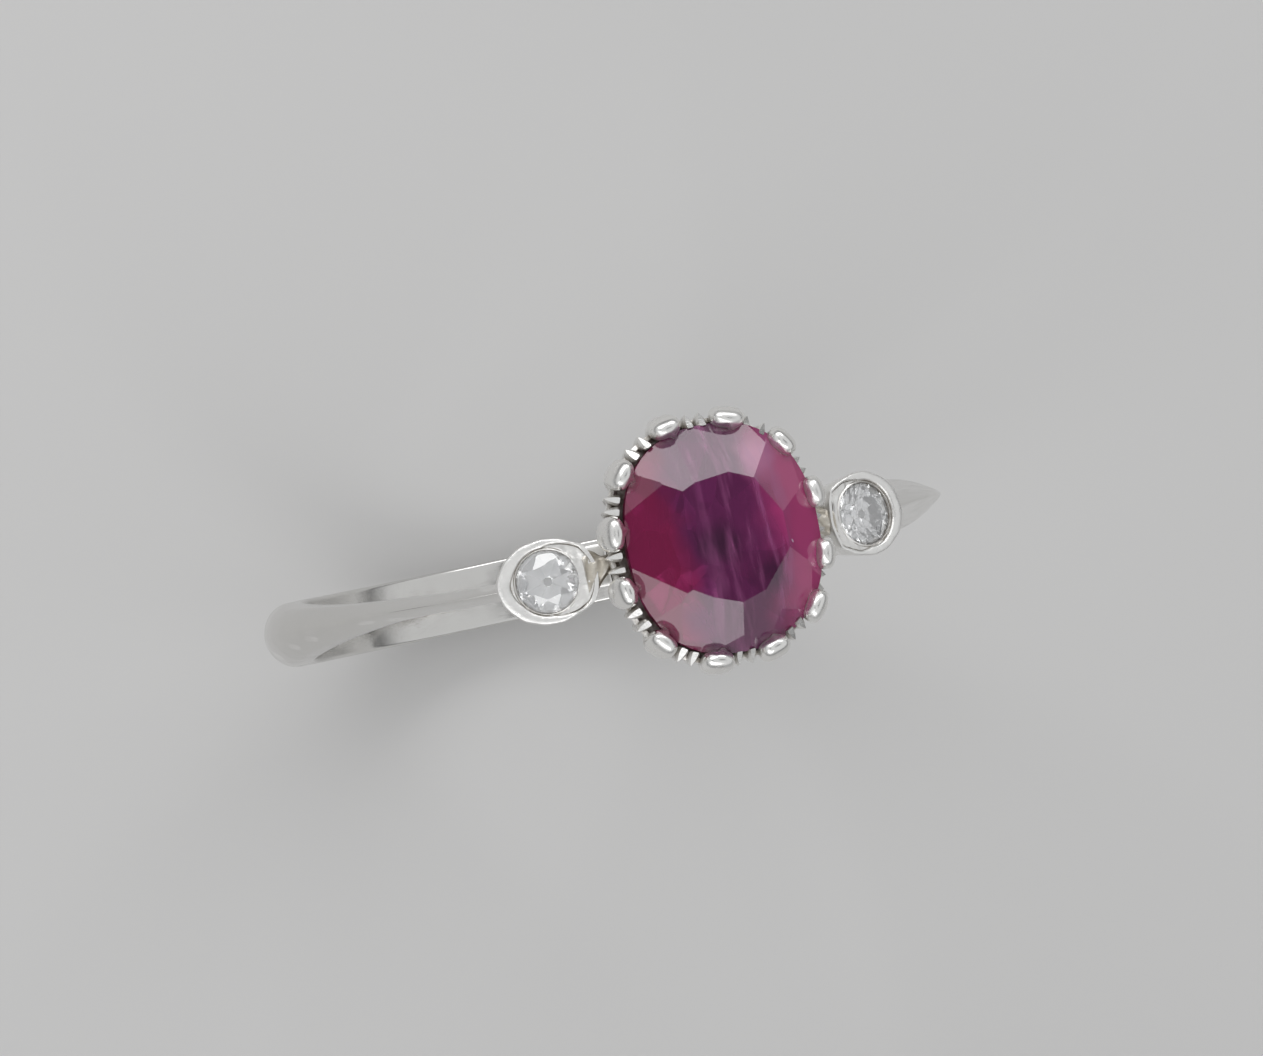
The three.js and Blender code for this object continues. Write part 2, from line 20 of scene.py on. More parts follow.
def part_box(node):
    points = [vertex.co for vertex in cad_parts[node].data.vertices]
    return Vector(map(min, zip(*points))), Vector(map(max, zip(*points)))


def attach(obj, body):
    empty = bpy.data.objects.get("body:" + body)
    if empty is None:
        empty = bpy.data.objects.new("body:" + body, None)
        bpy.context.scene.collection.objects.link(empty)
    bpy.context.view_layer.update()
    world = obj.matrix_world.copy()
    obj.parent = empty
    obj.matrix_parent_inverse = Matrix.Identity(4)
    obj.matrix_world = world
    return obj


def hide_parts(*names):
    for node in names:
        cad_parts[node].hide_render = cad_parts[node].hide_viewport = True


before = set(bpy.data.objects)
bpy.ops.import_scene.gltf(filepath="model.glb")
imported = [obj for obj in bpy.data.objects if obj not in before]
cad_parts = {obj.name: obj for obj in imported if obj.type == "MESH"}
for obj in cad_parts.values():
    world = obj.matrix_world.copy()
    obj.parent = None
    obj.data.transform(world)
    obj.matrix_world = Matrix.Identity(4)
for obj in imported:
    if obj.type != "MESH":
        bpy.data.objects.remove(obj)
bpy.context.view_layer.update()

MM = 0.001
BODY = "root"
EIGHTH = 360 / 8  # degrees between two main facets below the girdle
CLAW_COUNT = 12
CLAW_PITCH = 2 * math.pi / CLAW_COUNT

log = logging.getLogger("ring")

Row = list[Vector]
Triple = tuple[float, float, float]
Colour = tuple[float, float, float, float]
Socket = bpy.types.NodeSocket
Value = Socket | float | Sequence[float]


class Side(Enum):
    """The two sides of the ring, as the sign of X."""

    LEFT = -1
    RIGHT = 1

    @property
    def word(self) -> str:
        """The side's name as the model's nodes spell it."""
        return self.name.lower()


class Slot(Enum):
    """The record's material slots."""

    METAL = "white_metal"
    RUBY = "ruby"
    DIAMOND = "diamond"


# ---------------------------------------------------------------------------------------------------
# Numbers
# ---------------------------------------------------------------------------------------------------


def lerp(a: float, b: float, share: float) -> float:
    """The value at a share of the way from a to b."""
    return a + (b - a) * share


def smoothstep(value: float, low: float, high: float) -> float:
    """0 below low, 1 above high, and a smooth rise between them."""
    share = min(1.0, max(0.0, (value - low) / (high - low)))
    return share * share * (3 - 2 * share)


def steps(low: float, high: float, count: int) -> list[float]:
    """Evenly spaced values with both ends.

    Args:
        low: first value.
        high: last value.
        count: number of intervals.

    Returns:
        count + 1 values.
    """
    return [lerp(low, high, i / count) for i in range(count + 1)]


def along(stations: Sequence[Sequence[float]], share: float) -> list[float]:
    """Reads a row of values on a smooth curve through stations.

    Args:
        stations: rows of (place, value, value, ...) with rising places from 0 to 1.
        share: place to read, from 0 to 1.

    Returns:
        The values at that place, on a Catmull-Rom curve through the stations.
    """
    last = len(stations) - 1
    i = max(k for k in range(last) if stations[k][0] <= share or k == 0)
    low, high = stations[i], stations[i + 1]
    before, after = stations[max(0, i - 1)], stations[min(last, i + 2)]
    span = high[0] - low[0]
    t = (share - low[0]) / span
    found = []
    for p0, p1, p2, p3 in zip(before[1:], low[1:], high[1:], after[1:]):
        m1 = (p2 - p0) / max(1e-9, high[0] - before[0]) * span
        m2 = (p3 - p1) / max(1e-9, after[0] - low[0]) * span
        found.append(
            (2 * t**3 - 3 * t**2 + 1) * p1
            + (t**3 - 2 * t**2 + t) * m1
            + (3 * t**2 - 2 * t**3) * p2
            + (t**3 - t**2) * m2
        )
    return found


def wobble(seed: float, size: float) -> float:
    """A fixed small number from -size to size for a seed, so that hand-made pieces differ a little."""
    return size * math.sin(12.9898 * seed + 4.1414 * seed * seed)


# ---------------------------------------------------------------------------------------------------
# Sizes read from the model
# ---------------------------------------------------------------------------------------------------


def node_box(node: str) -> tuple[Vector, Vector]:
    """The lowest and highest corner of a node in millimetres."""
    low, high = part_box(node)
    return low / MM, high / MM


@dataclass(frozen=True)
class RingFrame:
    """The places that the sub-assemblies share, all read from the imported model.

    Attributes:
        outer_radius: from the bore's centre to the outside of the shank.
        bore_radius: from the bore's centre to the inside of the shank.
        shank_half: half the width of the shank.
        ruby_half: half the ruby's width along X and length along Y.
        table_z: height of the ruby's table.
        culet_z: height of the ruby's point.
        girdle_z: height of the middle of the ruby's girdle.
        girdle: height of the girdle's band.
        cup_foot: height of the coronet's foot.
        cup_rim: height of the coronet's rim.
        base_foot: height of the underside of the coronet's base ring.
    """

    outer_radius: float
    bore_radius: float
    shank_half: float
    ruby_half: tuple[float, float]
    table_z: float
    culet_z: float
    girdle_z: float
    girdle: float
    cup_foot: float
    cup_rim: float
    base_foot: float

    @classmethod
    def read(cls, crown: float = 0.85, girdle: float = 0.16, thickness: float = 1.3) -> "RingFrame":
        """Reads the places from the nodes' boxes.

        Args:
            crown: height of the ruby's crown.
            girdle: height of its girdle's band.
            thickness: of the shank.

        Returns:
            The shared places.
        """
        shank_low, shank_high = node_box("shank")
        ruby_low, ruby_high = node_box("ruby")
        cup_low, cup_high = node_box("coronet_cup")
        return cls(
            outer_radius=-shank_low.z,
            bore_radius=-shank_low.z - thickness,
            shank_half=shank_high.y,
            ruby_half=(ruby_high.x, ruby_high.y),
            table_z=ruby_high.z,
            culet_z=ruby_low.z,
            girdle_z=ruby_high.z - crown - girdle / 2,
            girdle=girdle,
            cup_foot=cup_low.z,
            cup_rim=cup_high.z,
            base_foot=node_box("coronet_base_ring")[0].z,
        )


@dataclass(frozen=True)
class CushionOutline:
    """The rounded outline that the ruby and its coronet share.

    Attributes:
        half_width: half the size along X.
        half_length: half the size along Y.
        power: 2 is an ellipse, and more is squarer.
        turn: degrees that the outline is turned about Z in the ring, as it was set by hand.
    """

    half_width: float
    half_length: float
    power: float = 2.35
    turn: float = -1.2

    def reach(self, angle: float) -> float:
        """Distance from the middle to the outline at an angle from +X.

        Args:
            angle: angle in radians.

        Returns:
            The distance.
        """
        own = angle - math.radians(self.turn)
        across = abs(math.cos(own)) / self.half_width
        length = abs(math.sin(own)) / self.half_length
        return (across**self.power + length**self.power) ** (-1 / self.power)

    def normal(self, angle: float) -> Vector:
        """The outward direction square to the outline at an angle from +X.

        Args:
            angle: angle in radians.

        Returns:
            A unit vector in the XY plane.
        """
        turn = math.radians(self.turn)
        own = angle - turn
        power = self.power - 1
        x = math.copysign((abs(math.cos(own)) / self.half_width) ** power, math.cos(own))
        y = math.copysign((abs(math.sin(own)) / self.half_length) ** power, math.sin(own))
        way = Vector((x / self.half_width, y / self.half_length, 0)).normalized()
        return Matrix.Rotation(turn, 3, "Z") @ way

    def point(self, angle: float, offset: float = 0.0, z: float = 0.0) -> Vector:
        """A point outside the outline.

        Args:
            angle: angle from +X in radians.
            offset: distance outwards from the outline.
            z: height.

        Returns:
            The point.
        """
        reach = self.reach(angle)
        point = Vector((reach * math.cos(angle), reach * math.sin(angle), z))
        return point + self.normal(angle) * offset


# ---------------------------------------------------------------------------------------------------
# Mesh making
# ---------------------------------------------------------------------------------------------------


class Skin:
    """A mesh put together from bands of points, in millimetres."""

    def __init__(self) -> None:
        """Starts with no points."""
        self.points: list[Vector] = []
        self.faces: list[tuple[int, ...]] = []

    def band(self, rows: Sequence[Row], ring: bool = False) -> "Skin":
        """Adds the surface through rows of points, each row a closed loop.

        Args:
            rows: loops with the same number of points.
            ring: the last row joins the first one. If not, a flat face closes each end.

        Returns:
            This skin.
        """
        start = len(self.points)
        size = len(rows[0])
        for row in rows:
            self.points.extend(row)
        count = len(rows) if ring else len(rows) - 1
        for i in range(count):
            a = start + i * size
            b = start + (i + 1) % len(rows) * size
            for j in range(size):
                k = (j + 1) % size
                self.faces.append((a + j, a + k, b + k, b + j))
        if not ring:
            last = start + (len(rows) - 1) * size
            self.faces.append(tuple(start + j for j in reversed(range(size))))
            self.faces.append(tuple(last + j for j in range(size)))
        return self

    def mesh(self, name: str, sharp_angle: float) -> bpy.types.Mesh:
        """Writes the mesh in metres, its faces pointing out.

        Args:
            name: name of the mesh.
            sharp_angle: edges that bend more than this many degrees stay sharp.

        Returns:
            The mesh.
        """
        mesh = bpy.data.meshes.new(name)
        mesh.from_pydata([tuple(p * MM) for p in self.points], [], self.faces)
        work = bmesh.new()
        work.from_mesh(mesh)
        bmesh.ops.remove_doubles(work, verts=work.verts, dist=1e-8)
        bmesh.ops.recalc_face_normals(work, faces=work.faces)
        work.to_mesh(mesh)
        work.free()
        mesh.shade_smooth()
        mesh.set_sharp_from_angle(angle=math.radians(sharp_angle))
        return mesh


def add_piece(
    name: str, mesh: bpy.types.Mesh, material: bpy.types.Material, nodes: Sequence[str] = ()
) -> bpy.types.Object:
    """Puts a finished mesh in the scene as a piece of the ring.

    Args:
        name: the piece's name.
        mesh: its mesh, in metres and in the model's frame.
        material: its material.
        nodes: the model's nodes that it stands for.

    Returns:
        The new object, riding on the ring's one body.
    """
    piece = bpy.data.objects.new(name, mesh)
    bpy.context.scene.collection.objects.link(piece)
    mesh.materials.append(material)
    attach(piece, BODY)
    if nodes:
        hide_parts(*nodes)
    log.info("%s: %d faces, stands for %s", name, len(mesh.polygons), ", ".join(nodes) or "nothing")
    return piece


def round_corner(corner: Vector, before: Vector, after: Vector, radius: float, count: int = 4) -> Row:
    """Points of a rounded corner, on the curve that leaves both sides smoothly.

    Args:
        corner: the sharp corner.
        before: a point on the side that comes in.
        after: a point on the side that goes out.
        radius: how far back along each side the rounding starts.
        count: number of intervals.

    Returns:
        The points, from the side that comes in to the side that goes out.
    """
    start = corner + (before - corner).normalized() * radius
    end = corner + (after - corner).normalized() * radius
    return [start * (1 - t) ** 2 + corner * 2 * t * (1 - t) + end * t * t for t in steps(0, 1, count)]


def round_corners(corners: Sequence[Vector], radius: float) -> Row:
    """A closed outline with every corner rounded.

    Args:
        corners: the outline's corners, in order.
        radius: how far from its corner each rounding starts.

    Returns:
        The outline's points.
    """
    found: Row = []
    for i, corner in enumerate(corners):
        found += round_corner(corner, corners[i - 1], corners[(i + 1) % len(corners)], radius)
    return found


def squarish(turn: float, power: float) -> tuple[float, float]:
    """A point on the unit circle (power 1) or on a squarer loop (power below 1).

    Args:
        turn: angle in radians.
        power: squareness.

    Returns:
        The point's two coordinates.
    """
    x = math.copysign(abs(math.cos(turn)) ** power, math.cos(turn))
    y = math.copysign(abs(math.sin(turn)) ** power, math.sin(turn))
    return x, y


# ---------------------------------------------------------------------------------------------------
# Shader nodes
# ---------------------------------------------------------------------------------------------------


class NodeTree:
    """A short way to write a node tree."""

    def __init__(self, tree: bpy.types.NodeTree) -> None:
        """Wraps a tree."""
        self.tree = tree

    def add(
        self, kind: str, inputs: dict[str | int, Value] | None = None, **settings: object
    ) -> bpy.types.Node:
        """Adds a node.

        Args:
            kind: the node's type name without the ShaderNode prefix.
            inputs: socket name or number to a value or to an output socket to link.
            **settings: properties of the node.

        Returns:
            The node.
        """
        prefix = "" if kind.startswith("NodeGroup") else "ShaderNode"
        node = self.tree.nodes.new(prefix + kind)
        for name, value in settings.items():
            setattr(node, name, value)
        for name, value in (inputs or {}).items():
            self.put(node.inputs[name], value)
        return node

    def put(self, socket: Socket, value: Value) -> None:
        """Links an output socket to a socket, or sets the socket's value.

        Args:
            socket: the input socket.
            value: a value, or the output socket to link.
        """
        if isinstance(value, Socket):
            self.tree.links.new(value, socket)
        else:
            socket.default_value = value

    def math(self, operation: str, a: Value, b: Value = 0.0, clamp: bool = False) -> Socket:
        """Adds a Math node and returns its output."""
        return self.add("Math", {0: a, 1: b}, operation=operation, use_clamp=clamp).outputs[0]

    def ramp(
        self, value: Value, low: float, high: float, to_low: float = 0.0, to_high: float = 1.0
    ) -> Socket:
        """Adds a Map Range node that is smooth at both ends, and returns its output."""
        inputs = {"Value": value, 1: low, 2: high, 3: to_low, 4: to_high}
        return self.add("MapRange", inputs, interpolation_type="SMOOTHSTEP").outputs[0]

    def blend(self, share: Value, a: Value, b: Value) -> Socket:
        """Adds a colour Mix node and returns its output."""
        return self.add("Mix", {0: share, 6: a, 7: b}, data_type="RGBA").outputs[2]

    def noise(self, place: Socket, scale: float, detail: float = 2.0, roughness: float = 0.5) -> Socket:
        """Adds a Noise Texture node and returns its factor."""
        inputs = {"Vector": place, "Scale": scale, "Detail": detail, "Roughness": roughness}
        return self.add("TexNoise", inputs).outputs["Fac"]

    def place(self, turn: Triple = (0, 0, 0), stretch: Triple = (1, 1, 1)) -> Socket:
        """The surface point in millimetres, for a texture to read.

        Args:
            turn: degrees that the texture is turned about each axis.
            stretch: how much it is squeezed along each axis.

        Returns:
            The socket with the point.
        """
        point = self.add("TexCoord").outputs["Object"]
        angles = tuple(math.radians(a) for a in turn)
        size = tuple(s / MM for s in stretch)
        return self.add("Mapping", {"Vector": point, "Rotation": angles, "Scale": size}).outputs[0]

    def finish(self, outputs: dict[str, Socket]) -> bpy.types.NodeTree:
        """Links sockets to the group's outputs.

        Args:
            outputs: name of each output and the socket that feeds it.

        Returns:
            The group.
        """
        sink = self.add("NodeGroupOutput")
        for name, socket in outputs.items():
            self.put(sink.inputs[name], socket)
        return self.tree


def make_group(
    name: str, inputs: dict[str, float], outputs: Sequence[str]
) -> tuple[NodeTree, dict[str, Socket]]:
    """Starts a shader node group.

    Args:
        name: the group's name.
        inputs: name of each float input and its default.
        outputs: name of each float output.

    Returns:
        The tree to fill, and the group input's sockets by name.
    """
    group = bpy.data.node_groups.new(name, "ShaderNodeTree")
    for label, value in inputs.items():
        socket = group.interface.new_socket(label, in_out="INPUT", socket_type="NodeSocketFloat")
        socket.default_value = value
    for label in outputs:
        group.interface.new_socket(label, in_out="OUTPUT", socket_type="NodeSocketFloat")
    tree = NodeTree(group)
    source = tree.add("NodeGroupInput")
    return tree, {socket.name: socket for socket in source.outputs if socket.name}


class SurfaceEffects:
    """The shader node groups that the ring's finishes share, each made once."""

    def __init__(self) -> None:
        """Builds the groups."""
        self.scratches = self._scratches()
        self.darkening = self._darkening()
        self.worn_edges = self._worn_edges()
        self.hand_finish = self._hand_finish()

    @staticmethod
    def _scratches() -> bpy.types.NodeTree:
        """Hairline scratches from years of wear, in three directions.

        Returns:
            The node group, which gives a mask.
        """
        tree, given = make_group("Hairline scratches", {"Amount": 0.5}, ["Mask"])
        total = None
        for turn, length in (((20, 35, 10), 0.5), ((-40, 10, 75), 0.8), ((70, -25, 130), 0.35)):
            place = tree.place(turn=turn, stretch=(length, 16, 16))
            line = tree.ramp(tree.noise(place, 1.0, detail=3.0, roughness=0.6), 0.6, 0.72)
            total = line if total is None else tree.math("MAXIMUM", total, line)
        patches = tree.ramp(tree.noise(tree.place(), 0.9), 0.35, 0.65, 0.25, 1.0)
        mask = tree.math("MULTIPLY", tree.math("MULTIPLY", total, patches), given["Amount"], clamp=True)
        return tree.finish({"Mask": mask})

    @staticmethod
    def _darkening() -> bpy.types.NodeTree:
        """A mask of the recesses that ambient occlusion finds, where the metal is made darker and duller.

        Returns:
            The node group, which gives a mask.
        """
        tree, given = make_group("Recess residue", {"Amount": 0.6, "Reach": 0.00035}, ["Mask"])
        # ambient occlusion marks the recesses, and the metal is darkened there
        open_share = tree.add("AmbientOcclusion", {"Distance": given["Reach"]}, samples=6).outputs["AO"]
        hidden = tree.ramp(open_share, 0.85, 0.25)
        patches = tree.ramp(tree.noise(tree.place(), 3.5, detail=4.0, roughness=0.65), 0.3, 0.62, 0.35, 1.0)
        mask = tree.math("MULTIPLY", tree.math("MULTIPLY", hidden, patches), given["Amount"], clamp=True)
        return tree.finish({"Mask": mask})

    @staticmethod
    def _worn_edges() -> bpy.types.NodeTree:
        """Edges and crowns that have been rubbed bright.

        Returns:
            The node group, which gives a mask.
        """
        tree, given = make_group("Worn edges", {"Amount": 0.5}, ["Mask"])
        edge = tree.ramp(tree.add("NewGeometry").outputs["Pointiness"], 0.5, 0.58)
        patches = tree.ramp(tree.noise(tree.place(), 2.2, detail=3.0), 0.3, 0.6, 0.4, 1.0)
        mask = tree.math("MULTIPLY", tree.math("MULTIPLY", edge, patches), given["Amount"], clamp=True)
        return tree.finish({"Mask": mask})

    @staticmethod
    def _hand_finish() -> bpy.types.NodeTree:
        """The slight unevenness of a surface shaped with files and burnishers.

        Returns:
            The node group, which gives a height and patches.
        """
        tree, given = make_group("Hand finish", {"Waves": 1.0, "Grain": 0.2}, ["Height", "Patches"])
        waves = tree.math("MULTIPLY", tree.noise(tree.place(), 1.1, detail=1.5), given["Waves"])
        fine = tree.noise(tree.place(turn=(15, 30, 50), stretch=(4, 11, 11)), 1.0, detail=4.0, roughness=0.6)
        height = tree.math("ADD", waves, tree.math("MULTIPLY", fine, given["Grain"]))
        patches = tree.noise(tree.place(turn=(0, 0, 33)), 1.7, detail=3.0)
        return tree.finish({"Height": height, "Patches": patches})


def new_material(name: str) -> tuple[bpy.types.Material, NodeTree, bpy.types.Node]:
    """Starts a material.

    Args:
        name: the material's name.

    Returns:
        The material, its tree, and its Principled BSDF.
    """
    material = bpy.data.materials.new(name)
    material.use_nodes = True
    return material, NodeTree(material.node_tree), material.node_tree.nodes["Principled BSDF"]


@dataclass(frozen=True)
class MetalFinish:
    """A finish of the white metal.

    Attributes:
        name: the material's name.
        colour: clean metal.
        bright: metal rubbed bright at an edge.
        film: colour of the metal where it is darkened in the recesses.
        roughness: of the clean metal where it is brightest and where it is dullest.
        waves: height of the hand-shaped unevenness in millimetres.
        grain: share of fine tool marks in it.
        scratches: how many hairlines show, from 0 to 1.
        darkening: how far the recesses are darkened, from 0 to 1.
        darkening_reach: how far in millimetres a recess is felt.
    """

    name: str
    colour: Colour = (0.84, 0.83, 0.81, 1.0)
    bright: Colour = (0.95, 0.945, 0.93, 1.0)
    film: Colour = (0.16, 0.125, 0.085, 1.0)
    roughness: tuple[float, float] = (0.08, 0.2)
    waves: float = 0.012
    grain: float = 0.1
    scratches: float = 0.5
    darkening: float = 0.6
    darkening_reach: float = 0.3

    def material(self, effects: SurfaceEffects) -> bpy.types.Material:
        """Builds the material.

        Args:
            effects: the shared node groups.

        Returns:
            The material.
        """
        material, tree, shader = new_material(self.name)
        scratches = tree.add("Group", node_tree=effects.scratches)
        scratches.inputs["Amount"].default_value = self.scratches
        darkening = tree.add("Group", node_tree=effects.darkening)
        darkening.inputs["Amount"].default_value = self.darkening
        darkening.inputs["Reach"].default_value = self.darkening_reach * MM
        edges = tree.add("Group", node_tree=effects.worn_edges)
        finish = tree.add("Group", node_tree=effects.hand_finish)
        finish.inputs["Grain"].default_value = self.grain

        # the metal is darker, duller and less metallic in the recesses that ambient occlusion marks
        film = darkening.outputs["Mask"]
        clean = tree.blend(edges.outputs["Mask"], self.colour, self.bright)
        tree.put(shader.inputs["Base Color"], tree.blend(film, clean, self.film))
        tree.put(shader.inputs["Metallic"], tree.ramp(film, 0.0, 1.0, 1.0, 0.35))
        rough = tree.ramp(finish.outputs["Patches"], 0.3, 0.7, *self.roughness)
        rough = tree.math("ADD", rough, tree.math("MULTIPLY", scratches.outputs["Mask"], 0.12))
        rough = tree.math("ADD", rough, tree.math("MULTIPLY", film, 0.4), clamp=True)
        tree.put(shader.inputs["Roughness"], rough)
        cut = tree.math("MULTIPLY", scratches.outputs["Mask"], -0.12)
        height = tree.math("ADD", finish.outputs["Height"], cut)
        bump = tree.add("Bump", {"Height": height, "Distance": self.waves * MM, "Strength": 1.0})
        tree.put(shader.inputs["Normal"], bump.outputs["Normal"])
        return material


@dataclass(frozen=True)
class RubyFinish:
    """The ruby: crimson at one side, plum with pale silk in the middle, pink at the other side.

    Attributes:
        name: the material's name.
        crimson: colour of the -X side.
        plum: colour of the middle.
        pink: colour of the +X side.
        silk: colour of the fine silk in the middle.
        clouds: place along X and Y, inner and outer radius and colour of each cloud in the stone, and of one
            lighter patch that is painted light.
        transmission: share of light that goes in.
        ior: index of refraction.
        roughness: of the polished facets.
    """

    name: str = "Ruby, silky"
    crimson: Colour = (0.30, 0.014, 0.09, 1.0)
    plum: Colour = (0.15, 0.018, 0.10, 1.0)
    pink: Colour = (0.56, 0.055, 0.23, 1.0)
    silk: Colour = (0.46, 0.13, 0.33, 1.0)
    clouds: tuple[tuple[float, float, float, float, Colour], ...] = (
        (-0.4, -0.15, 0.15, 0.95, (0.05, 0.012, 0.042, 1.0)),
        # painted light: a lighter pink patch towards the +X, +Y corner, where a crown facet catches light
        (1.3, 2.0, 0.1, 0.9, (0.68, 0.2, 0.42, 1.0)),
        (0.85, -1.2, 0.1, 0.7, (0.06, 0.01, 0.05, 1.0)),
        (1.7, -0.48, 0.02, 0.07, (0.9, 0.75, 0.95, 1.0)),
    )
    transmission: float = 0.5
    ior: float = 1.77
    roughness: float = 0.03

    def material(self, effects: SurfaceEffects) -> bpy.types.Material:
        """Builds the material.

        Args:
            effects: the shared node groups.

        Returns:
            The material.
        """
        material, tree, shader = new_material(self.name)
        point = tree.add("SeparateXYZ", {0: tree.place()})
        drift = tree.math("MULTIPLY", tree.math("SUBTRACT", tree.noise(tree.place(), 0.8), 0.5), 1.3)
        across = tree.math("ADD", point.outputs["X"], drift)
        body = tree.blend(tree.ramp(across, -1.9, -1.0), self.crimson, self.plum)
        body = tree.blend(tree.ramp(across, 0.5, 2.2), body, self.pink)
        # clouds in the stone, with one lighter patch that is painted light
        for x, y, inner, outer, colour in self.clouds:
            away_x = tree.math("ADD", tree.math("SUBTRACT", point.outputs["X"], x), drift)
            away_y = tree.math("SUBTRACT", point.outputs["Y"], y)
            squares = [tree.math("MULTIPLY", away, away) for away in (away_x, away_y)]
            near = tree.ramp(tree.math("SQRT", tree.math("ADD", *squares)), outer, inner, 0.0, 0.85)
            body = tree.blend(near, body, colour)
        streaks = tree.place(turn=(0, 0, 14), stretch=(2.2, 0.3, 0.3))
        silk = tree.ramp(tree.noise(streaks, 1.0, detail=4.0, roughness=0.55), 0.48, 0.66)
        middle = tree.ramp(tree.math("ABSOLUTE", tree.math("SUBTRACT", across, 0.5)), 1.9, 0.4)
        veil = tree.math("MULTIPLY", tree.math("MULTIPLY", silk, middle), 0.8)
        tree.put(shader.inputs["Base Color"], tree.blend(veil, body, self.silk))
        scratches = tree.add("Group", node_tree=effects.scratches)
        scratches.inputs["Amount"].default_value = 0.5
        rough = tree.math("MULTIPLY", scratches.outputs["Mask"], 0.05)
        tree.put(shader.inputs["Roughness"], tree.math("ADD", rough, self.roughness))
        shader.inputs["Transmission Weight"].default_value = self.transmission
        shader.inputs["IOR"].default_value = self.ior
        return material


@dataclass(frozen=True)
class DiamondFinish:
    """The colourless diamonds.

    Attributes:
        name: the material's name.
        colour: the clear stone.
        cloud: a faint cloud in it.
        transmission: share of light that goes in.
        ior: index of refraction.
        roughness: of the polished facets.
    """

    name: str = "Diamond"
    colour: Colour = (0.99, 0.992, 0.995, 1.0)
    cloud: Colour = (0.9, 0.91, 0.92, 1.0)
    transmission: float = 0.8
    ior: float = 2.42
    roughness: float = 0.0

    def material(self) -> bpy.types.Material:
        """Builds the material: clear, with a faint cloud in it.

        Returns:
            The material.
        """
        material, tree, shader = new_material(self.name)
        cloud = tree.ramp(tree.noise(tree.place(), 1.6, detail=3.0), 0.45, 0.75)
        tree.put(shader.inputs["Base Color"], tree.blend(cloud, self.colour, self.cloud))
        shader.inputs["Roughness"].default_value = self.roughness
        shader.inputs["Transmission Weight"].default_value = self.transmission
        shader.inputs["IOR"].default_value = self.ior
        return material


class Finishes:
    """Every material of the ring, built once."""

    def __init__(self) -> None:
        """Builds the shared groups and the materials."""
        effects = SurfaceEffects()
        polished = MetalFinish("White metal, polished", colour=(0.7, 0.69, 0.67, 1.0), roughness=(0.08, 0.2))
        rubbed = MetalFinish("White metal, rubbed", roughness=(0.2, 0.32))
        fluted = MetalFinish(
            "White metal, fluted", roughness=(0.16, 0.3), grain=0.25, darkening=1.0, darkening_reach=0.6
        )
        tooled = MetalFinish(
            "White metal, tooled",
            roughness=(0.24, 0.4),
            waves=0.02,
            grain=0.7,
            darkening=1.0,
            darkening_reach=0.45,
        )
        inner = MetalFinish(
            "White metal, inside", roughness=(0.3, 0.45), grain=0.6, darkening=1.0, darkening_reach=0.5
        )
        solder = MetalFinish(
            "White metal, solder",
            colour=(0.56, 0.52, 0.45, 1.0),
            roughness=(0.32, 0.48),
            waves=0.03,
            grain=0.8,
            darkening=1.0,
            darkening_reach=0.5,
        )
        self.polished = polished.material(effects)
        self.rubbed = rubbed.material(effects)
        self.solder = solder.material(effects)
        self.fluted = fluted.material(effects)
        self.tooled = tooled.material(effects)
        self.inner = inner.material(effects)
        self.ruby = RubyFinish().material(effects)
        self.diamond = DiamondFinish().material()


# ---------------------------------------------------------------------------------------------------
# Gem cutting
# ---------------------------------------------------------------------------------------------------


@dataclass(frozen=True)
class Facet:
    """One flat of a stone: the plane through a point at reach and z, facing azimuth and tipped by slope.

    Attributes:
        azimuth: degrees from +X that the facet faces.
        slope: degrees from facing straight up.
        reach: distance of the point from the stone's axis.
        z: height of the point.
    """

    azimuth: float
    slope: float
    reach: float
    z: float

    def plane(self) -> tuple[Vector, Vector]:
        """A point on the plane and its outward normal.

        Returns:
            The point and the normal.
        """
        turn = math.radians(self.azimuth)
        tilt = math.radians(self.slope)
        normal = Vector((math.sin(tilt) * math.cos(turn), math.sin(tilt) * math.sin(turn), math.cos(tilt)))
        return Vector((self.reach * math.cos(turn), self.reach * math.sin(turn), self.z)), normal


def cut_stone(name: str, outline: Row, low: float, high: float, facets: Sequence[Facet]) -> bpy.types.Mesh:
    """Cuts a stone from a prism, one facet at a time.

    Args:
        name: name of the mesh.
        outline: the girdle's outline, in order.
        low: height of the prism's underside.
        high: height of the prism's top, which becomes the table.
        facets: the flats to cut.

    Returns:
        The stone's mesh, in metres, with flat faces.
    """
    work = bmesh.new()
    top = [work.verts.new((p.x, p.y, high)) for p in outline]
    bottom = [work.verts.new((p.x, p.y, low)) for p in outline]
    work.faces.new(top)
    work.faces.new(list(reversed(bottom)))
    for i in range(len(outline)):
        k = (i + 1) % len(outline)
        work.faces.new((top[i], bottom[i], bottom[k], top[k]))
    for facet in facets:
        point, normal = facet.plane()
        cut = bmesh.ops.bisect_plane(
            work,
            geom=[*work.verts, *work.edges, *work.faces],
            dist=1e-5,
            plane_co=point,
            plane_no=normal,
            clear_outer=True,
        )
        edges = [e for e in cut["geom_cut"] if isinstance(e, bmesh.types.BMEdge) and e.is_valid]
        if edges:
            bmesh.ops.contextual_create(work, geom=edges)
    bmesh.ops.remove_doubles(work, verts=work.verts, dist=1e-4)
    bmesh.ops.recalc_face_normals(work, faces=work.faces)
    bmesh.ops.scale(work, vec=(MM, MM, MM), verts=work.verts)
    mesh = bpy.data.meshes.new(name)
    work.to_mesh(mesh)
    work.free()
    return mesh


# ---------------------------------------------------------------------------------------------------
# Sub-assemblies
# ---------------------------------------------------------------------------------------------------


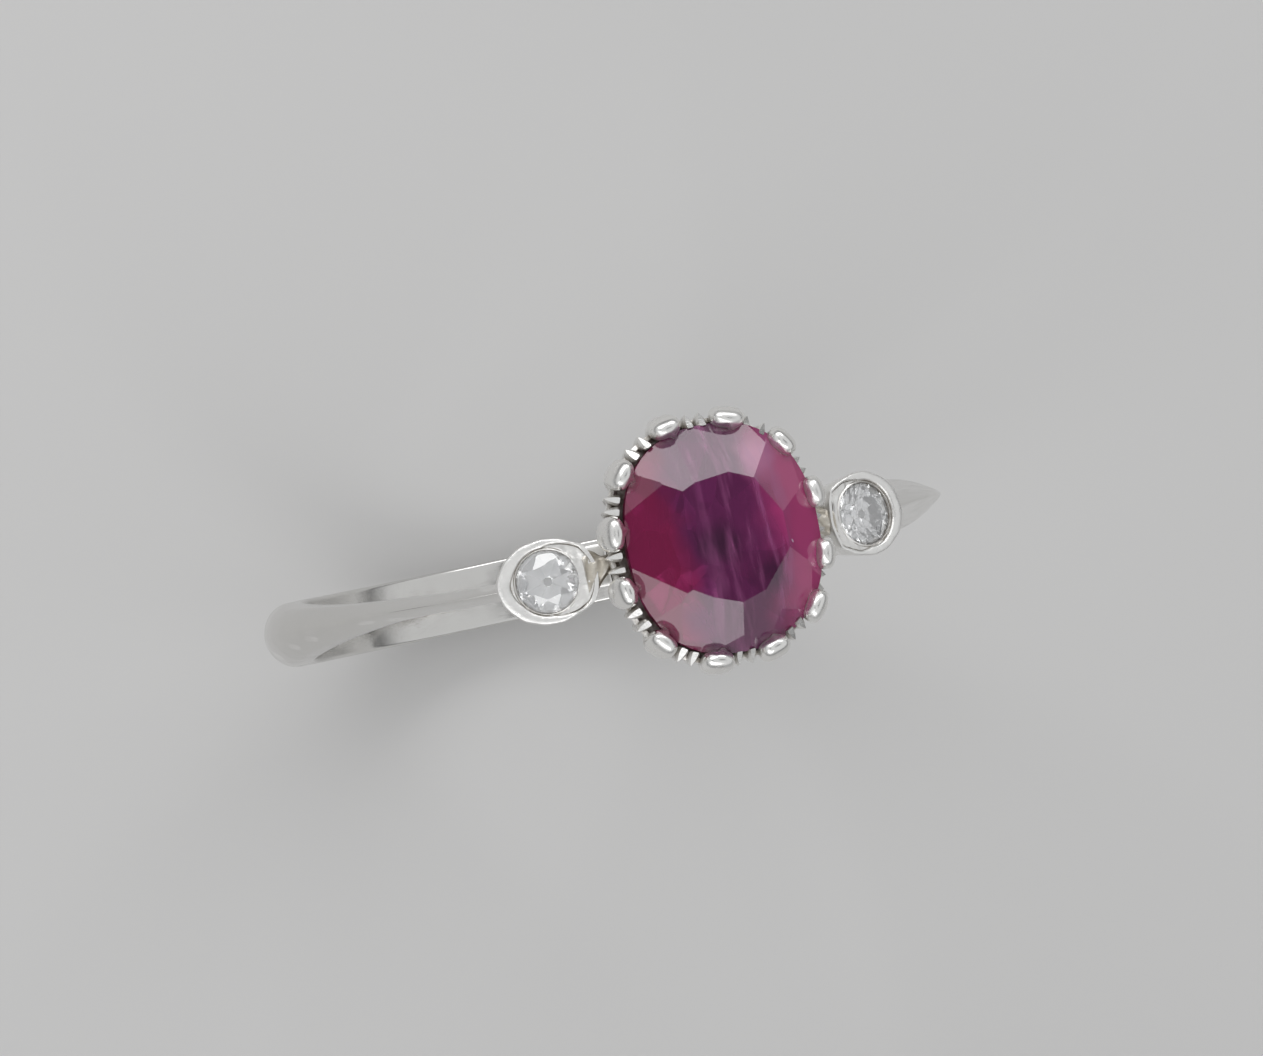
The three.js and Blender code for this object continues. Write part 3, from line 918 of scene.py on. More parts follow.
@dataclass(frozen=True)
class Hoop:
    """The shank and the two shoulders that taper up to the collets.

    Attributes:
        ring: places shared with the other sub-assemblies.
        tip_width: width of a shoulder at its collet.
        tip_thickness: from the bore to the ridge at the collet.
        edge: height of the flat at each side.
        taper: degrees from the top at which a shoulder starts and ends widening.
        tip_shift: how far along Y the shoulders' tips stand from the middle, where they meet the collets.
        ridge_power: straightness of the ridge's flanks.
        ridge_softness: how far the ridge's edge is worn round, as a share of the half width.
        inner_round: radius of the inner edges.
        step: degrees between sections.
    """

    ring: RingFrame
    tip_width: float = 0.5
    tip_thickness: float = 1.5
    edge: float = 0.55
    taper: tuple[float, float] = (43.0, 117.0)
    tip_shift: float = -0.15
    ridge_power: float = 1.25
    ridge_softness: float = 0.07
    inner_round: float = 0.12
    step: float = 1.0

    def _places(self) -> list[float]:
        """Places across the crown as shares of the half width, closest at the ridge and at the edges."""
        half = sorted({0.03, 0.065, *(math.sin(t) for t in steps(0, math.pi / 2, 14))})
        return [-p for p in reversed(half[1:])] + half

    def _crown(self, place: float, share: float) -> float:
        """Height of the crown at a place, as a share of its rise, from ridge (share 0) to dome (share 1).

        Args:
            place: where across the crown, as a share of the half width.
            share: how much of a dome it is.

        Returns:
            The height.
        """
        soft = self.ridge_softness
        out = math.hypot(place, soft) - soft
        ridge = 1 - (out / (math.hypot(1, soft) - soft)) ** self.ridge_power
        dome = math.sqrt(max(0.0, 1 - place * place))
        return lerp(ridge, dome, share)

    def section(self, angle: float) -> Row:
        """The hoop's section at an angle in degrees from the top towards +X.

        Args:
            angle: degrees from the top.

        Returns:
            The section's points.
        """
        ring = self.ring
        from_top = min(angle, 360 - angle)
        share = smoothstep(from_top, *self.taper)
        shift = self.tip_shift * (1 - smoothstep(from_top, 32, 62))
        half = lerp(self.tip_width / 2, ring.shank_half, share)
        thickness = lerp(self.tip_thickness, ring.outer_radius - ring.bore_radius, share)
        top = ring.bore_radius + self.edge
        radius = min(self.inner_round, half * 0.5)
        right, left = Vector((half, ring.bore_radius)), Vector((-half, ring.bore_radius))
        flat = round_corner(right, Vector((half, top)), left, radius)
        flat += round_corner(left, right, Vector((-half, top)), radius)
        for place in self._places():
            rise = (thickness - self.edge) * self._crown(place, share)
            flat.append(Vector((place * half, top + rise)))
        turn = math.radians(angle)
        return [Vector((p.y * math.sin(turn), p.x + shift, p.y * math.cos(turn))) for p in flat]

    def arc(self, name: str, start: float, end: float, finish: bpy.types.Material, node: str) -> None:
        """Builds the hoop between two angles as one piece.

        Args:
            name: the piece's name.
            start: first angle in degrees from the top.
            end: last angle.
            finish: its material.
            node: the model's node that it stands for.
        """
        count = math.ceil(abs(end - start) / self.step)
        rows = [self.section(angle) for angle in steps(start, end, count)]
        add_piece(name, Skin().band(rows).mesh(name, sharp_angle=40), finish, [node])

    def tip_angle(self) -> float:
        """Degrees from the top at which a shoulder meets its collet."""
        return math.degrees(math.asin(node_box("right_shoulder")[0].x / self.ring.bore_radius))

    def build(self, finishes: Finishes) -> None:
        """Builds the shank and both shoulders.

        Args:
            finishes: every material of the ring.
        """
        seam = math.degrees(math.acos(node_box("shank")[1].z / self.ring.bore_radius))
        tip = self.tip_angle()
        self.arc("hoop_shank", seam, 360 - seam, finishes.polished, "shank")
        self.arc("hoop_shoulder_right", tip, seam, finishes.polished, "right_shoulder")
        self.arc("hoop_shoulder_left", 360 - tip, 360 - seam, finishes.polished, "left_shoulder")


@dataclass(frozen=True)
class Coronet:
    """The fluted cup round the ruby, its base ring, its bearing and its twelve claws.

    Attributes:
        ring: places shared with the other sub-assemblies.
        outline: the outline shared with the ruby.
        wall_offset: outside of the wall at the rim, from the ruby's girdle.
        taper: how far the foot stands inside the rim.
        wall: thickness of the wall.
        side_spread: how much further out the coronet stands at the two X sides than at the Y ends.
        lean: how far the rim leans towards -X, as it was bent in setting the ruby.
        rib_height: how far the ribs and claws stand out of the wall.
        rib_width: width of a rib at its top and at its foot.
        rib_angle: degrees from the middle of a gap to each of its two ribs.
        rib_profile: across a rib: (share of the way out, share of its half width).
        rib_crest: share of its height at which a rib's top begins to be rounded.
        web_drop: from the rim down to the wall between the ribs.
        claw_turns: degrees that each claw stands from its even place.
        stations: along a claw: (place, offset, height above the rim, half width, half depth, nose).
        round_steps: steps round the outline.
    """

    ring: RingFrame
    outline: CushionOutline
    wall_offset: float = 0.25
    taper: float = 0.7
    wall: float = 0.24
    side_spread: float = 0.04
    lean: float = 0.17
    rib_height: float = 0.14
    rib_width: tuple[float, float] = (0.31, 0.2)
    rib_angle: float = 3.5
    rib_profile: tuple[tuple[float, float], ...] = (
        (0.0, 0.8),
        (0.1, 1.0),
        (0.35, 0.92),
        (0.6, 0.7),
        (0.8, 0.42),
        (0.94, 0.18),
        (1.0, 0.0),
    )
    rib_crest: float = 0.955
    web_drop: float = 0.55
    claw_turns: tuple[float, ...] = (-0.6, -1.0, -1.9, -0.7, 0.5, 0.5, 2.6, 3.6, 1.9, 0.9, -0.7, -4.5)
    stations: tuple[tuple[float, ...], ...] = (
        (0.0, -0.08, -2.82, 0.17, 0.15, 0.0),
        (0.35, -0.06, -1.7, 0.21, 0.16, 0.0),
        (0.6, -0.05, -0.9, 0.28, 0.19, 0.0),
        (0.74, -0.08, -0.45, 0.38, 0.24, 0.0),
        (0.84, -0.15, -0.08, 0.47, 0.3, 0.02),
        (0.92, -0.22, 0.2, 0.46, 0.28, 0.1),
        (0.97, -0.29, 0.37, 0.35, 0.2, 0.1),
        (0.99, -0.33, 0.43, 0.22, 0.12, 0.04),
        (1.0, -0.35, 0.45, 0.08, 0.04, 0.0),
    )
    round_steps: int = 180

    def _up(self, z: float) -> float:
        """Share of the way from the foot to the rim at a height."""
        share = (z - self.ring.cup_foot) / (self.ring.cup_rim - self.ring.cup_foot)
        return min(1.0, max(0.0, share))

    def wall_out(self, z: float) -> float:
        """Outside of the wall at a height, as an offset from the girdle's outline."""
        return self.wall_offset - self.taper * (1 - self._up(z)) ** 1.8

    def stand(self, angle: float, offset: float, z: float) -> Vector:
        """A point of the coronet.

        Args:
            angle: angle from +X in radians.
            offset: distance outwards from the ruby's outline.
            z: height.

        Returns:
            The point, with the coronet's lean and its wider stand at the two X sides.
        """
        spread = self.side_spread * (math.cos(angle) ** 2 - 0.5)
        return self.outline.point(angle, offset + spread, z) - Vector((self.lean * self._up(z), 0, 0))

    def _follow(self, section: Sequence[tuple[float, float]]) -> list[Row]:
        """Rows of a ring that follows the outline, from the (offset, height) corners of its section.

        Args:
            section: the corners.

        Returns:
            One row for each step round the outline.
        """
        rows = []
        for i in range(self.round_steps):
            angle = 2 * math.pi * i / self.round_steps
            rows.append([self.stand(angle, offset, z) for offset, z in section])
        return rows

    def claw_angle(self, number: int) -> float:
        """Angle of a claw from +X in radians, for any whole number."""
        turn = self.claw_turns[(number - 1) % CLAW_COUNT]
        return (number - 0.5) * CLAW_PITCH + math.radians(turn)

    def _rib(self, angle: float, seed: float) -> list[Row]:
        """One rib: a column with a sharp outer edge and a top cut on a slope.

        Args:
            angle: angle from +X in radians.
            seed: picks its small differences.

        Returns:
            The rib's rows.
        """
        normal = self.outline.normal(angle)
        sideways = Vector((-normal.y, normal.x, 0))
        top = self.ring.cup_rim + 0.1 + wobble(seed, 0.05)
        lean = wobble(seed + 3, 0.04)
        broad = 1 + wobble(seed + 5, 0.12)
        profile = self.rib_profile
        rows = []
        for share in (*steps(0, self.rib_crest, 20), 0.975, 0.99, 1.0):
            z = lerp(self.ring.cup_foot, top, share)
            close = 1 - 0.45 * smoothstep(share, self.rib_crest, 1.0)
            drawn = 0.05 * (1 - close)
            half = lerp(self.rib_width[1], self.rib_width[0], share**1.5) / 2 * broad * close
            outer = self.wall_out(z) + self.rib_height * (0.5 + 0.5 * share) - drawn
            inner = self.wall_out(z) - self.wall * (0.9 + 0.25 * smoothstep(share, 0.8, 1)) + drawn
            row = []
            for way in (1, -1):
                for out, width in profile if way > 0 else reversed(profile[:-1]):
                    drop = 0.3 * out * smoothstep(share, 0.75, 1.0)
                    foot = self.stand(angle, lerp(inner, outer, out), z - drop)
                    row.append(foot + sideways * (way * width * half + lean * share * share))
            rows.append(row)
        return rows

    def build_cup(self, finish: bpy.types.Material) -> None:
        """Builds the wall and its ribs as one piece.

        Args:
            finish: its material.
        """
        heights = steps(self.ring.cup_foot, self.ring.cup_rim - self.web_drop, 8)
        section = [(self.wall_out(z), z) for z in heights]
        section.append((self.wall_out(heights[-1]) - self.wall / 2, heights[-1] + self.wall * 0.3))
        section += [(self.wall_out(z) - self.wall, z) for z in reversed(heights)]
        skin = Skin().band(self._follow(section), ring=True)
        for gap in range(CLAW_COUNT):
            middle = (self.claw_angle(gap) + self.claw_angle(gap + 1)) / 2
            for way in (-1, 1):
                skin.band(self._rib(middle + way * math.radians(self.rib_angle), gap + 0.37 * way))
        name = "coronet_fluted_cup"
        add_piece(name, skin.mesh(name, 40), finish, ["coronet_cup"])

    def _claw_row(self, number: int, share: float) -> tuple[Vector, float, float, float]:
        """Where one section of a claw stands and how big it is.

        Args:
            number: the claw's number.
            share: place along the claw, from its foot to its tip.

        Returns:
            Its centre, half width, half depth, and how far its nose reaches towards the ruby.
        """
        angle = self.claw_angle(number)
        out, rise, half, depth, nose = along(self.stations, share)
        z = self.ring.cup_rim + rise
        base = self.wall_out(z) + self.rib_height + out + wobble(number + 2, 0.025)
        broad = 1 + wobble(number, 0.06)
        return self.stand(angle, base, z), half * broad, depth, nose * (1 - 0.9 * math.cos(angle))

    def build_claw(self, number: int, finish: bpy.types.Material) -> None:
        """Builds one claw: a stem that swells into a rounded head, with a small nose on the ruby.

        Args:
            number: the claw's number.
            finish: its material.
        """
        normal = self.outline.normal(self.claw_angle(number))
        sideways = Vector((-normal.y, normal.x, 0))
        nose_place = wobble(number + 4, 0.35)
        sections = [self._claw_row(number, share) for share in steps(0, 1, 56)]
        rows = []
        for i, (centre, half, depth, nose) in enumerate(sections):
            ahead = sections[min(i + 1, len(sections) - 1)][0] - sections[max(i - 1, 0)][0]
            across = sideways.cross(ahead).normalized()
            row = []
            for turn in steps(0, 2 * math.pi, 36)[:-1]:
                side, out = squarish(turn, 0.78)
                point_in = nose * max(0.0, -out) * math.exp(-(((side - nose_place) / 0.19) ** 2))
                row.append(centre + sideways * side * half + across * (out * depth - point_in))
            rows.append(row)
        name = f"coronet_claw_{number:02d}"
        mesh = Skin().band(rows).mesh(name, sharp_angle=60)
        add_piece(name, mesh, finish, [f"claw_{number:02d}"])

    def build_base_ring(self, finish: bpy.types.Material) -> None:
        """Builds the ring that closes the coronet's foot, with softened edges.

        Args:
            finish: its material.
        """
        low, high = self.ring.base_foot, self.ring.cup_foot
        out = self.wall_out(low) + 0.03
        inner = out - 0.58
        corners = [Vector((out, low)), Vector((out, high)), Vector((inner, high)), Vector((inner, low))]
        section = [(p.x, p.y) for p in round_corners(corners, 0.1)]
        mesh = Skin().band(self._follow(section), ring=True).mesh("coronet_base", 40)
        add_piece("coronet_base", mesh, finish, ["coronet_base_ring"])

    def build_bearing(self, finish: bpy.types.Material) -> None:
        """Builds the ledge that the ruby's pavilion rests on, from the leaning wall to the upright ruby.

        Args:
            finish: its material.
        """
        low, high = node_box("ruby_bearing")
        outside = [(self.wall_out(z) - self.wall, z) for z in (low.z, high.z)]
        inside = ((-0.28, high.z), (-0.32, high.z - 0.06), (-0.32, low.z))
        rows = []
        for i in range(self.round_steps):
            angle = 2 * math.pi * i / self.round_steps
            row = [self.stand(angle, offset, z) for offset, z in outside]
            rows.append(row + [self.outline.point(angle, offset, z) for offset, z in inside])
        mesh = Skin().band(rows, ring=True).mesh("coronet_bearing", 40)
        add_piece("coronet_bearing", mesh, finish, ["ruby_bearing"])

    def build(self, finishes: Finishes) -> None:
        """Builds the whole coronet.

        Args:
            finishes: every material of the ring.
        """
        self.build_cup(finishes.fluted)
        self.build_base_ring(finishes.fluted)
        self.build_bearing(finishes.inner)
        for number in range(1, CLAW_COUNT + 1):
            self.build_claw(number, finishes.rubbed)


@dataclass(frozen=True)
class Ruby:
    """The cushion-shaped mixed-cut ruby.

    Attributes:
        ring: places shared with the other sub-assemblies.
        outline: the outline shared with the coronet.
        mains: azimuth of each main crown facet in degrees, and its distance from the middle at the table.
        break_slope: how much steeper the girdle facets are than the mains, in degrees.
        extras: azimuth, slope and distance at the table's height of the cutter's two odd facets.
        outline_points: number of sides of the girdle.
        break_shares: where the two facets above the girdle stand between each two large ones.
        pavilion_turn: degrees that the facets below the girdle are turned from +X.
        pavilion_slopes: degrees of the main facets, of those between them, and of those by the culet.
        culet_turn: degrees from a main facet to the one by the culet.
        culet_share: share of the girdle's reach at which the facets by the culet are set.
        culet_rise: how far above the culet they are set.
    """

    ring: RingFrame
    outline: CushionOutline
    mains: tuple[tuple[float, float], ...] = (
        (-1.2, 1.58),
        (30, 1.56),
        (66, 1.72),
        (95.6, 1.72),
        (112, 1.81),
        (173.6, 1.3),
        (239, 1.8),
        (249.5, 1.775),
        (286, 1.754),
        (317, 1.58),
    )
    break_slope: float = 7.0
    break_shares: tuple[float, float] = (0.27, 0.73)
    pavilion_turn: float = 10.0
    pavilion_slopes: tuple[float, float, float] = (43.0, 48.0, 33.0)
    culet_turn: float = 12.0
    culet_share: float = 0.42
    culet_rise: float = 0.45
    extras: tuple[tuple[float, float, float], ...] = ((65, 33.8, 2.265), (297, 36.5, 1.95))
    outline_points: int = 72

    def _reach(self, azimuth: float) -> float:
        """How far the girdle extends square to a facet that faces this way.

        Args:
            azimuth: degrees from +X that the facet faces.

        Returns:
            The distance from the ruby's axis.
        """
        way = Vector((math.cos(math.radians(azimuth)), math.sin(math.radians(azimuth)), 0))
        angles = steps(0, 2 * math.pi, self.outline_points)
        return max(self.outline.point(a).dot(way) for a in angles)

    def facets(self) -> list[Facet]:
        """The crown and the pavilion.

        Returns:
            The facets, in the order in which they are cut.
        """
        ring = self.ring
        top = ring.girdle_z + ring.girdle / 2
        bottom = ring.girdle_z - ring.girdle / 2
        found, slopes = [], []
        for azimuth, table in self.mains:
            slope = math.degrees(math.atan2(ring.table_z - top, self._reach(azimuth) - table))
            slopes.append(slope)
            found.append(Facet(azimuth, slope, table, ring.table_z))
        for i, (azimuth, _) in enumerate(self.mains):
            following = (i + 1) % len(self.mains)
            gap = (self.mains[following][0] - azimuth) % 360
            for share in self.break_shares:
                way = azimuth + gap * share
                slope = lerp(slopes[i], slopes[following], share) + self.break_slope
                found.append(Facet(way, slope, self._reach(way) - 0.02, top))
        found += [Facet(azimuth, slope, reach, ring.table_z) for azimuth, slope, reach in self.extras]
        main, between, culet = (180 - slope for slope in self.pavilion_slopes)
        for i in range(8):
            way = EIGHTH * i + self.pavilion_turn
            half_way = way + EIGHTH / 2
            aside = way + self.culet_turn
            found.append(Facet(way, main, self._reach(way), bottom))
            found.append(Facet(half_way, between, self._reach(half_way), bottom))
            reach = self._reach(aside) * self.culet_share
            found.append(Facet(aside, culet, reach, ring.culet_z + self.culet_rise))
        return found

    def build(self, finishes: Finishes) -> None:
        """Cuts the stone.

        Args:
            finishes: every material of the ring.
        """
        angles = steps(0, 2 * math.pi, self.outline_points)[:-1]
        outline = [self.outline.point(a) for a in angles]
        mesh = cut_stone("ruby_stone", outline, self.ring.culet_z, self.ring.table_z, self.facets())
        add_piece("ruby_stone", mesh, finishes.ruby, ["ruby"])


@dataclass(frozen=True)
class SideCollet:
    """A collet with its seat, its diamond, its neck to the coronet and the gallery bar under it.

    The collet has its own frame: x towards the ruby, z out of its rim, origin at the rim's centre.

    Attributes:
        ring: places shared with the other sub-assemblies.
        side: which side of the ring.
        tilt: degrees that the collet leans outwards.
        height: from its rim to its foot.
        node_reach: the model's reach to the collet's outer end and to its heel.
        half_side: half its size across the ring, at the rim.
        outer_reach: from the diamond's centre to the outer end.
        heel_reach: from the diamond's centre to the heel's corners.
        heel_half: half the width of the heel.
        heel_bulge: how far the middle of the heel stands out beyond its corners.
        heel_dip: how far the rim is worn down at the heel.
        neck_half: half the neck's width at the coronet and at the heel.
        shift: how far along Y the collet stands from the ring's middle.
        taper: share of its size lost from rim to foot.
        stone: the diamond's radius.
        sink: depth of the diamond's girdle below the rim.
        dents: how uneven the outside and the edge of the well are.
        solder_half: half the length of the solder along the shoulder's end.
        solder_reach: radius of the solder.
        solder_sink: how far its middle lies below the shoulder's surface.
        points: steps round the collet.
    """

    ring: RingFrame
    side: Side
    tilt: float = 20.0
    height: float = 2.2
    node_reach: tuple[float, float] = (1.32, 1.2)
    half_side: float = 1.2
    outer_reach: float = 1.43
    heel_reach: float = 1.18
    heel_half: float = 0.84
    heel_bulge: float = 0.27
    heel_dip: float = 0.1
    neck_half: tuple[float, float] = (0.26, 0.74)
    shift: float = -0.15
    taper: float = 0.26
    stone: float = 0.9
    sink: float = 0.2
    dents: tuple[float, float] = (0.006, 0.007)
    solder_half: float = 0.29
    solder_reach: float = 0.15
    solder_sink: float = 0.12
    points: int = 120

    def matrix(self) -> Matrix:
        """Places the collet's own frame in the ring's frame.

        Returns:
            The matrix, in millimetres.
        """
        way = self.side.value
        turn = math.radians(self.tilt)
        low, high = node_box(f"{self.side.word}_collet")
        x = max(abs(low.x), abs(high.x)) - self.node_reach[0] * math.cos(turn)
        z = high.z - self.node_reach[1] * math.sin(turn)
        face = Matrix.Rotation(math.pi if way > 0 else 0.0, 4, "Z")
        return Matrix.Translation((way * x, self.shift, z)) @ Matrix.Rotation(way * turn, 4, "Y") @ face

    def _flank(self, t: float) -> tuple[float, float]:
        """A point on the side that runs from beside the diamond (t 0) to the heel's corner (t 1).

        Args:
            t: share of the way.

        Returns:
            The point's x and y.
        """
        x = t * (1 - t) * self.heel_reach + t * t * self.heel_reach
        y = (1 - t * t) * self.half_side + t * t * self.heel_half
        return x, y

    def _outline_reach(self, angle: float) -> float:
        """Distance from the diamond's centre to the outline at an angle from the ruby's direction.

        Args:
            angle: angle in radians.

        Returns:
            The distance at the rim.
        """
        x, y = math.cos(angle), abs(math.sin(angle))
        if x <= 0:
            return 1 / math.hypot(x / self.outer_reach, y / self.half_side)
        if y * self.heel_reach < self.heel_half * x:
            bend = self.heel_bulge * (y / self.heel_half) ** 2
            full = self.heel_reach + self.heel_bulge
            return full / x if bend < 1e-9 else (math.sqrt(x * x + 4 * bend * full) - x) / (2 * bend)
        low, high = 0.0, 1.0
        for _ in range(30):
            t = (low + high) / 2
            px, py = self._flank(t)
            low, high = (t, high) if py * x > px * y else (low, t)
        return math.hypot(*self._flank(low))

    def _angles(self) -> list[float]:
        """The steps round the collet, in radians."""
        return steps(0, 2 * math.pi, self.points)[:-1]

    def _loop(self, reaches: Sequence[float], depth: float, lumps: float = 0.0) -> Row:
        """A loop round the diamond's axis, in the ring's frame.

        Args:
            reaches: distance from the axis at each step.
            depth: distance below the rim.
            lumps: height of the uneven surface.

        Returns:
            The loop's points.
        """
        matrix = self.matrix()
        found = []
        for angle, reach in zip(self._angles(), reaches):
            x, y = reach * math.cos(angle), reach * math.sin(angle)
            rise = math.sin(9 * x + 5 * y) + math.sin(13 * y - 6 * x + self.side.value) + math.sin(21 * x + 3)
            sunk = max(depth, self.heel_dip * smoothstep(math.cos(angle), 0.68, 0.93))
            found.append(matrix @ Vector((x, y, lumps * rise / 3 - sunk)))
        return found

    def outside(self, inset: float, depth: float) -> Row:
        """A loop that follows the collet's outline, inset from it.

        Args:
            inset: distance in from the outline.
            depth: distance below the rim.

        Returns:
            The loop's points.
        """
        scale = 1 - self.taper * depth / self.height
        reaches = []
        for angle in self._angles():
            waves = math.sin(7 * angle + self.side.value) + math.sin(13 * angle) + math.sin(4 * angle + 2)
            reaches.append((self._outline_reach(angle) - inset + self.dents[0] * waves) * scale)
        return self._loop(reaches, depth)

    def _well_reach(self, angle: float) -> float:
        """Distance from the axis to the edge of the well: the rim is broad outside and thin at the heel.

        Args:
            angle: angle from the ruby's direction in radians.

        Returns:
            The distance.
        """
        rim = lerp(0.13, 0.4, smoothstep(-math.cos(angle), -0.7, 0.8))
        waves = math.sin(6 * angle + 1) + math.sin(11 * angle + self.side.value)
        return max(self.stone + 0.045, self._outline_reach(angle) - rim + self.dents[1] * waves)

    def well(self, grow: float, depth: float, lumps: float = 0.0) -> Row:
        """A loop at the edge of the well, grown outwards."""
        return self._loop([self._well_reach(a) + grow for a in self._angles()], depth, lumps)

    def floor(self, share: float, radius: float, depth: float, lumps: float) -> Row:
        """A loop part of the way from the well's edge (share 0) to a round loop (share 1)."""
        return self._loop([lerp(self._well_reach(a), radius, share) for a in self._angles()], depth, lumps)

    def circle(self, radius: float, depth: float) -> Row:
        """A round loop."""
        return self._loop([radius] * self.points, depth)

    def _add(self, name: str, skin: Skin, sharp: float, finish: bpy.types.Material, node: str) -> None:
        """Adds one of the collet's metal pieces, named for its side.

        Args:
            name: the piece's name without its side.
            skin: its surface.
            sharp: edges that bend more than this many degrees stay sharp.
            finish: its material.
            node: name of the node that it stands for without its side, or nothing.
        """
        name = f"{name}_{self.side.word}"
        nodes = [f"{self.side.word}_{node}"] if node else []
        add_piece(name, skin.mesh(name, sharp), finish, nodes)

    def build_collet(self, finish: bpy.types.Material) -> None:
        """Builds the wall and its broad rim.

        Args:
            finish: its material.
        """
        rows = [self.outside(0, depth) for depth in (self.height, 1.6, 1.0, 0.5, 0.16, 0.1)]
        rows += [self.outside(inset, depth) for inset, depth in ((0.008, 0.06), (0.03, 0.02), (0.07, 0.0))]
        rows += [self.well(grow, depth) for grow, depth in ((0.05, 0.0), (0.02, 0.02), (0.0, 0.06))]
        rows += [self.well(-0.01, 0.12), self.well(0.0, 0.45)]
        rows += [self.outside(0.24, depth) for depth in (0.8, 1.5, self.height)]
        self._add("collet", Skin().band(rows, ring=True), 50, finish, "collet")

    def build_seat(self, finish: bpy.types.Material) -> None:
        """Builds the seat: a rough floor up to the heel and a thin lip rubbed over the diamond's edge.

        Args:
            finish: its material.
        """
        rows = [self.well(0.04, 0.8), self.well(0.04, 0.2), self.well(0.0, 0.13), self.well(-0.03, 0.1, 0.01)]
        edge = self.stone + 0.045
        rows += [self.floor(share, edge, 0.09, 0.03) for share in (0.15, 0.3, 0.45, 0.6, 0.75, 0.9)]
        lip = (
            (0.045, 0.1),
            (0.03, 0.08),
            (0.0, 0.07),
            (-0.022, 0.1),
            (-0.028, 0.15),
            (0.02, 0.18),
            (0.02, 0.24),
            (-0.06, 0.3),
            (-0.1, 0.8),
        )
        rows += [self.circle(self.stone + grow, depth) for grow, depth in lip]
        self._add("seat", Skin().band(rows, ring=True), 55, finish, "seat_plate")

    def build_diamond(self, finish: bpy.types.Material) -> None:
        """Cuts the round brilliant and sets it in the seat.

        Args:
            finish: its material.
        """
        radius, girdle = self.stone, 0.05
        top, bottom = girdle / 2, -girdle / 2
        table, culet = top + 0.27, bottom - 0.67
        twist = 9 * self.side.value
        facets = []
        for i in range(8):
            way = 45 * i + twist
            facets.append(Facet(way, 34.5, radius, top))
            facets.append(Facet(way + 22.5, 22, 0.6 * radius, table - 0.035))
            facets.append(Facet(way, 180 - 40.8, radius, bottom))
            for half in (11.25, 33.75):
                facets.append(Facet(way + half, 41, radius, top))
                facets.append(Facet(way + half, 180 - 42.2, radius, bottom))
        angles = steps(0, 2 * math.pi, 64)[:-1]
        outline = [Vector((radius * math.cos(a), radius * math.sin(a), 0)) for a in angles]
        name = f"diamond_{self.side.word}"
        mesh = cut_stone(name, outline, culet, table, facets)
        place = self.matrix() @ Matrix.Translation((0, 0, -self.sink))
        mesh.transform(Matrix.Scale(MM, 4) @ place @ Matrix.Scale(1 / MM, 4))
        add_piece(name, mesh, finish, [f"{self.side.word}_diamond"])

    def build_neck(self, finish: bpy.types.Material) -> None:
        """Builds the lumpy funnel from the collet's heel to the gap between two claws of the coronet.

        Args:
            finish: its material.
        """
        low, high = node_box(f"{self.side.word}_neck")
        near, far = min(abs(low.x), abs(high.x)) + 0.2, max(abs(low.x), abs(high.x)) + 0.06
        rows = []
        for share in steps(-0.05, 1.1, 24):
            half = lerp(self.neck_half[0], self.neck_half[1], smoothstep(share, 0.2, 1.0))
            top = lerp(high.z + 0.3, high.z - 0.01, smoothstep(share, 0.0, 0.8))
            bottom = low.z + 0.2 - 0.2 * abs(2 * min(1.0, max(0.0, share)) - 1)
            row = []
            for turn in steps(0, 2 * math.pi, 48)[:-1]:
                y, z = squarish(turn, 0.6)
                lump = 1 + 0.03 * math.sin(5 * turn + 9 * share) + 0.03 * math.sin(8 * turn - 14 * share)
                sag = 0.1 * y * y * smoothstep(z, 0.0, 1.0)
                y = y * half * lump + self.shift * share
                z = lerp(bottom, top, 0.5 + 0.5 * z * lump) - sag
                row.append(Vector((self.side.value * lerp(near, far, share), y, z)))
            rows.append(row)
        self._add("neck", Skin().band(rows), 50, finish, "neck")

    def build_bar(self, finish: bpy.types.Material, thickness: float = 0.65) -> None:
        """Builds the gallery bar under the collet, with softened edges.

        Args:
            finish: its material.
            thickness: of the bar, out from the bore.
        """
        low, high = node_box(f"{self.side.word}_gallery_bar")
        near, far = min(abs(low.x), abs(high.x)), max(abs(low.x), abs(high.x))
        bottom, top = self.ring.bore_radius, self.ring.bore_radius + thickness
        start = math.degrees(math.asin(near / bottom))
        end = math.degrees(math.asin(far / top))
        half = high.y
        corners = [Vector((half, bottom)), Vector((-half, bottom)), Vector((-half, top)), Vector((half, top))]
        section = round_corners(corners, 0.14)
        rows = []
        for angle in steps(start, end, 16):
            turn = math.radians(angle * self.side.value)
            rows.append([Vector((p.y * math.sin(turn), p.x, p.y * math.cos(turn))) for p in section])
        self._add("gallery_bar", Skin().band(rows), 40, finish, "gallery_bar")

    def build_solder(self, hoop: Hoop, finish: bpy.types.Material) -> None:
        """Builds the small step of solder where the shoulder's ridge meets the collet.

        Args:
            hoop: the hoop, for where its shoulder ends.
            finish: its material.
        """
        angle = math.radians(hoop.tip_angle() + 0.6)
        radius = self.ring.bore_radius + hoop.tip_thickness
        out = Vector((math.sin(angle), 0, math.cos(angle)))
        away = Vector((math.cos(angle), 0, -math.sin(angle)))
        rows = []
        for share in steps(0, 1, 12):
            lobe = math.sin(math.pi * min(0.98, max(0.02, share))) ** 0.6
            row = []
            for turn in steps(0, 2 * math.pi, 16)[:-1]:
                reach = self.solder_reach * lobe * (1 + 0.12 * math.sin(3 * turn + 5 * share))
                depth = radius - self.solder_sink + reach * math.sin(turn)
                point = out * depth + away * reach * math.cos(turn)
                y = self.shift + lerp(-self.solder_half, self.solder_half, share)
                row.append(Vector((point.x * self.side.value, y, point.z)))
            rows.append(row)
        self._add("solder", Skin().band(rows), 60, finish, "")

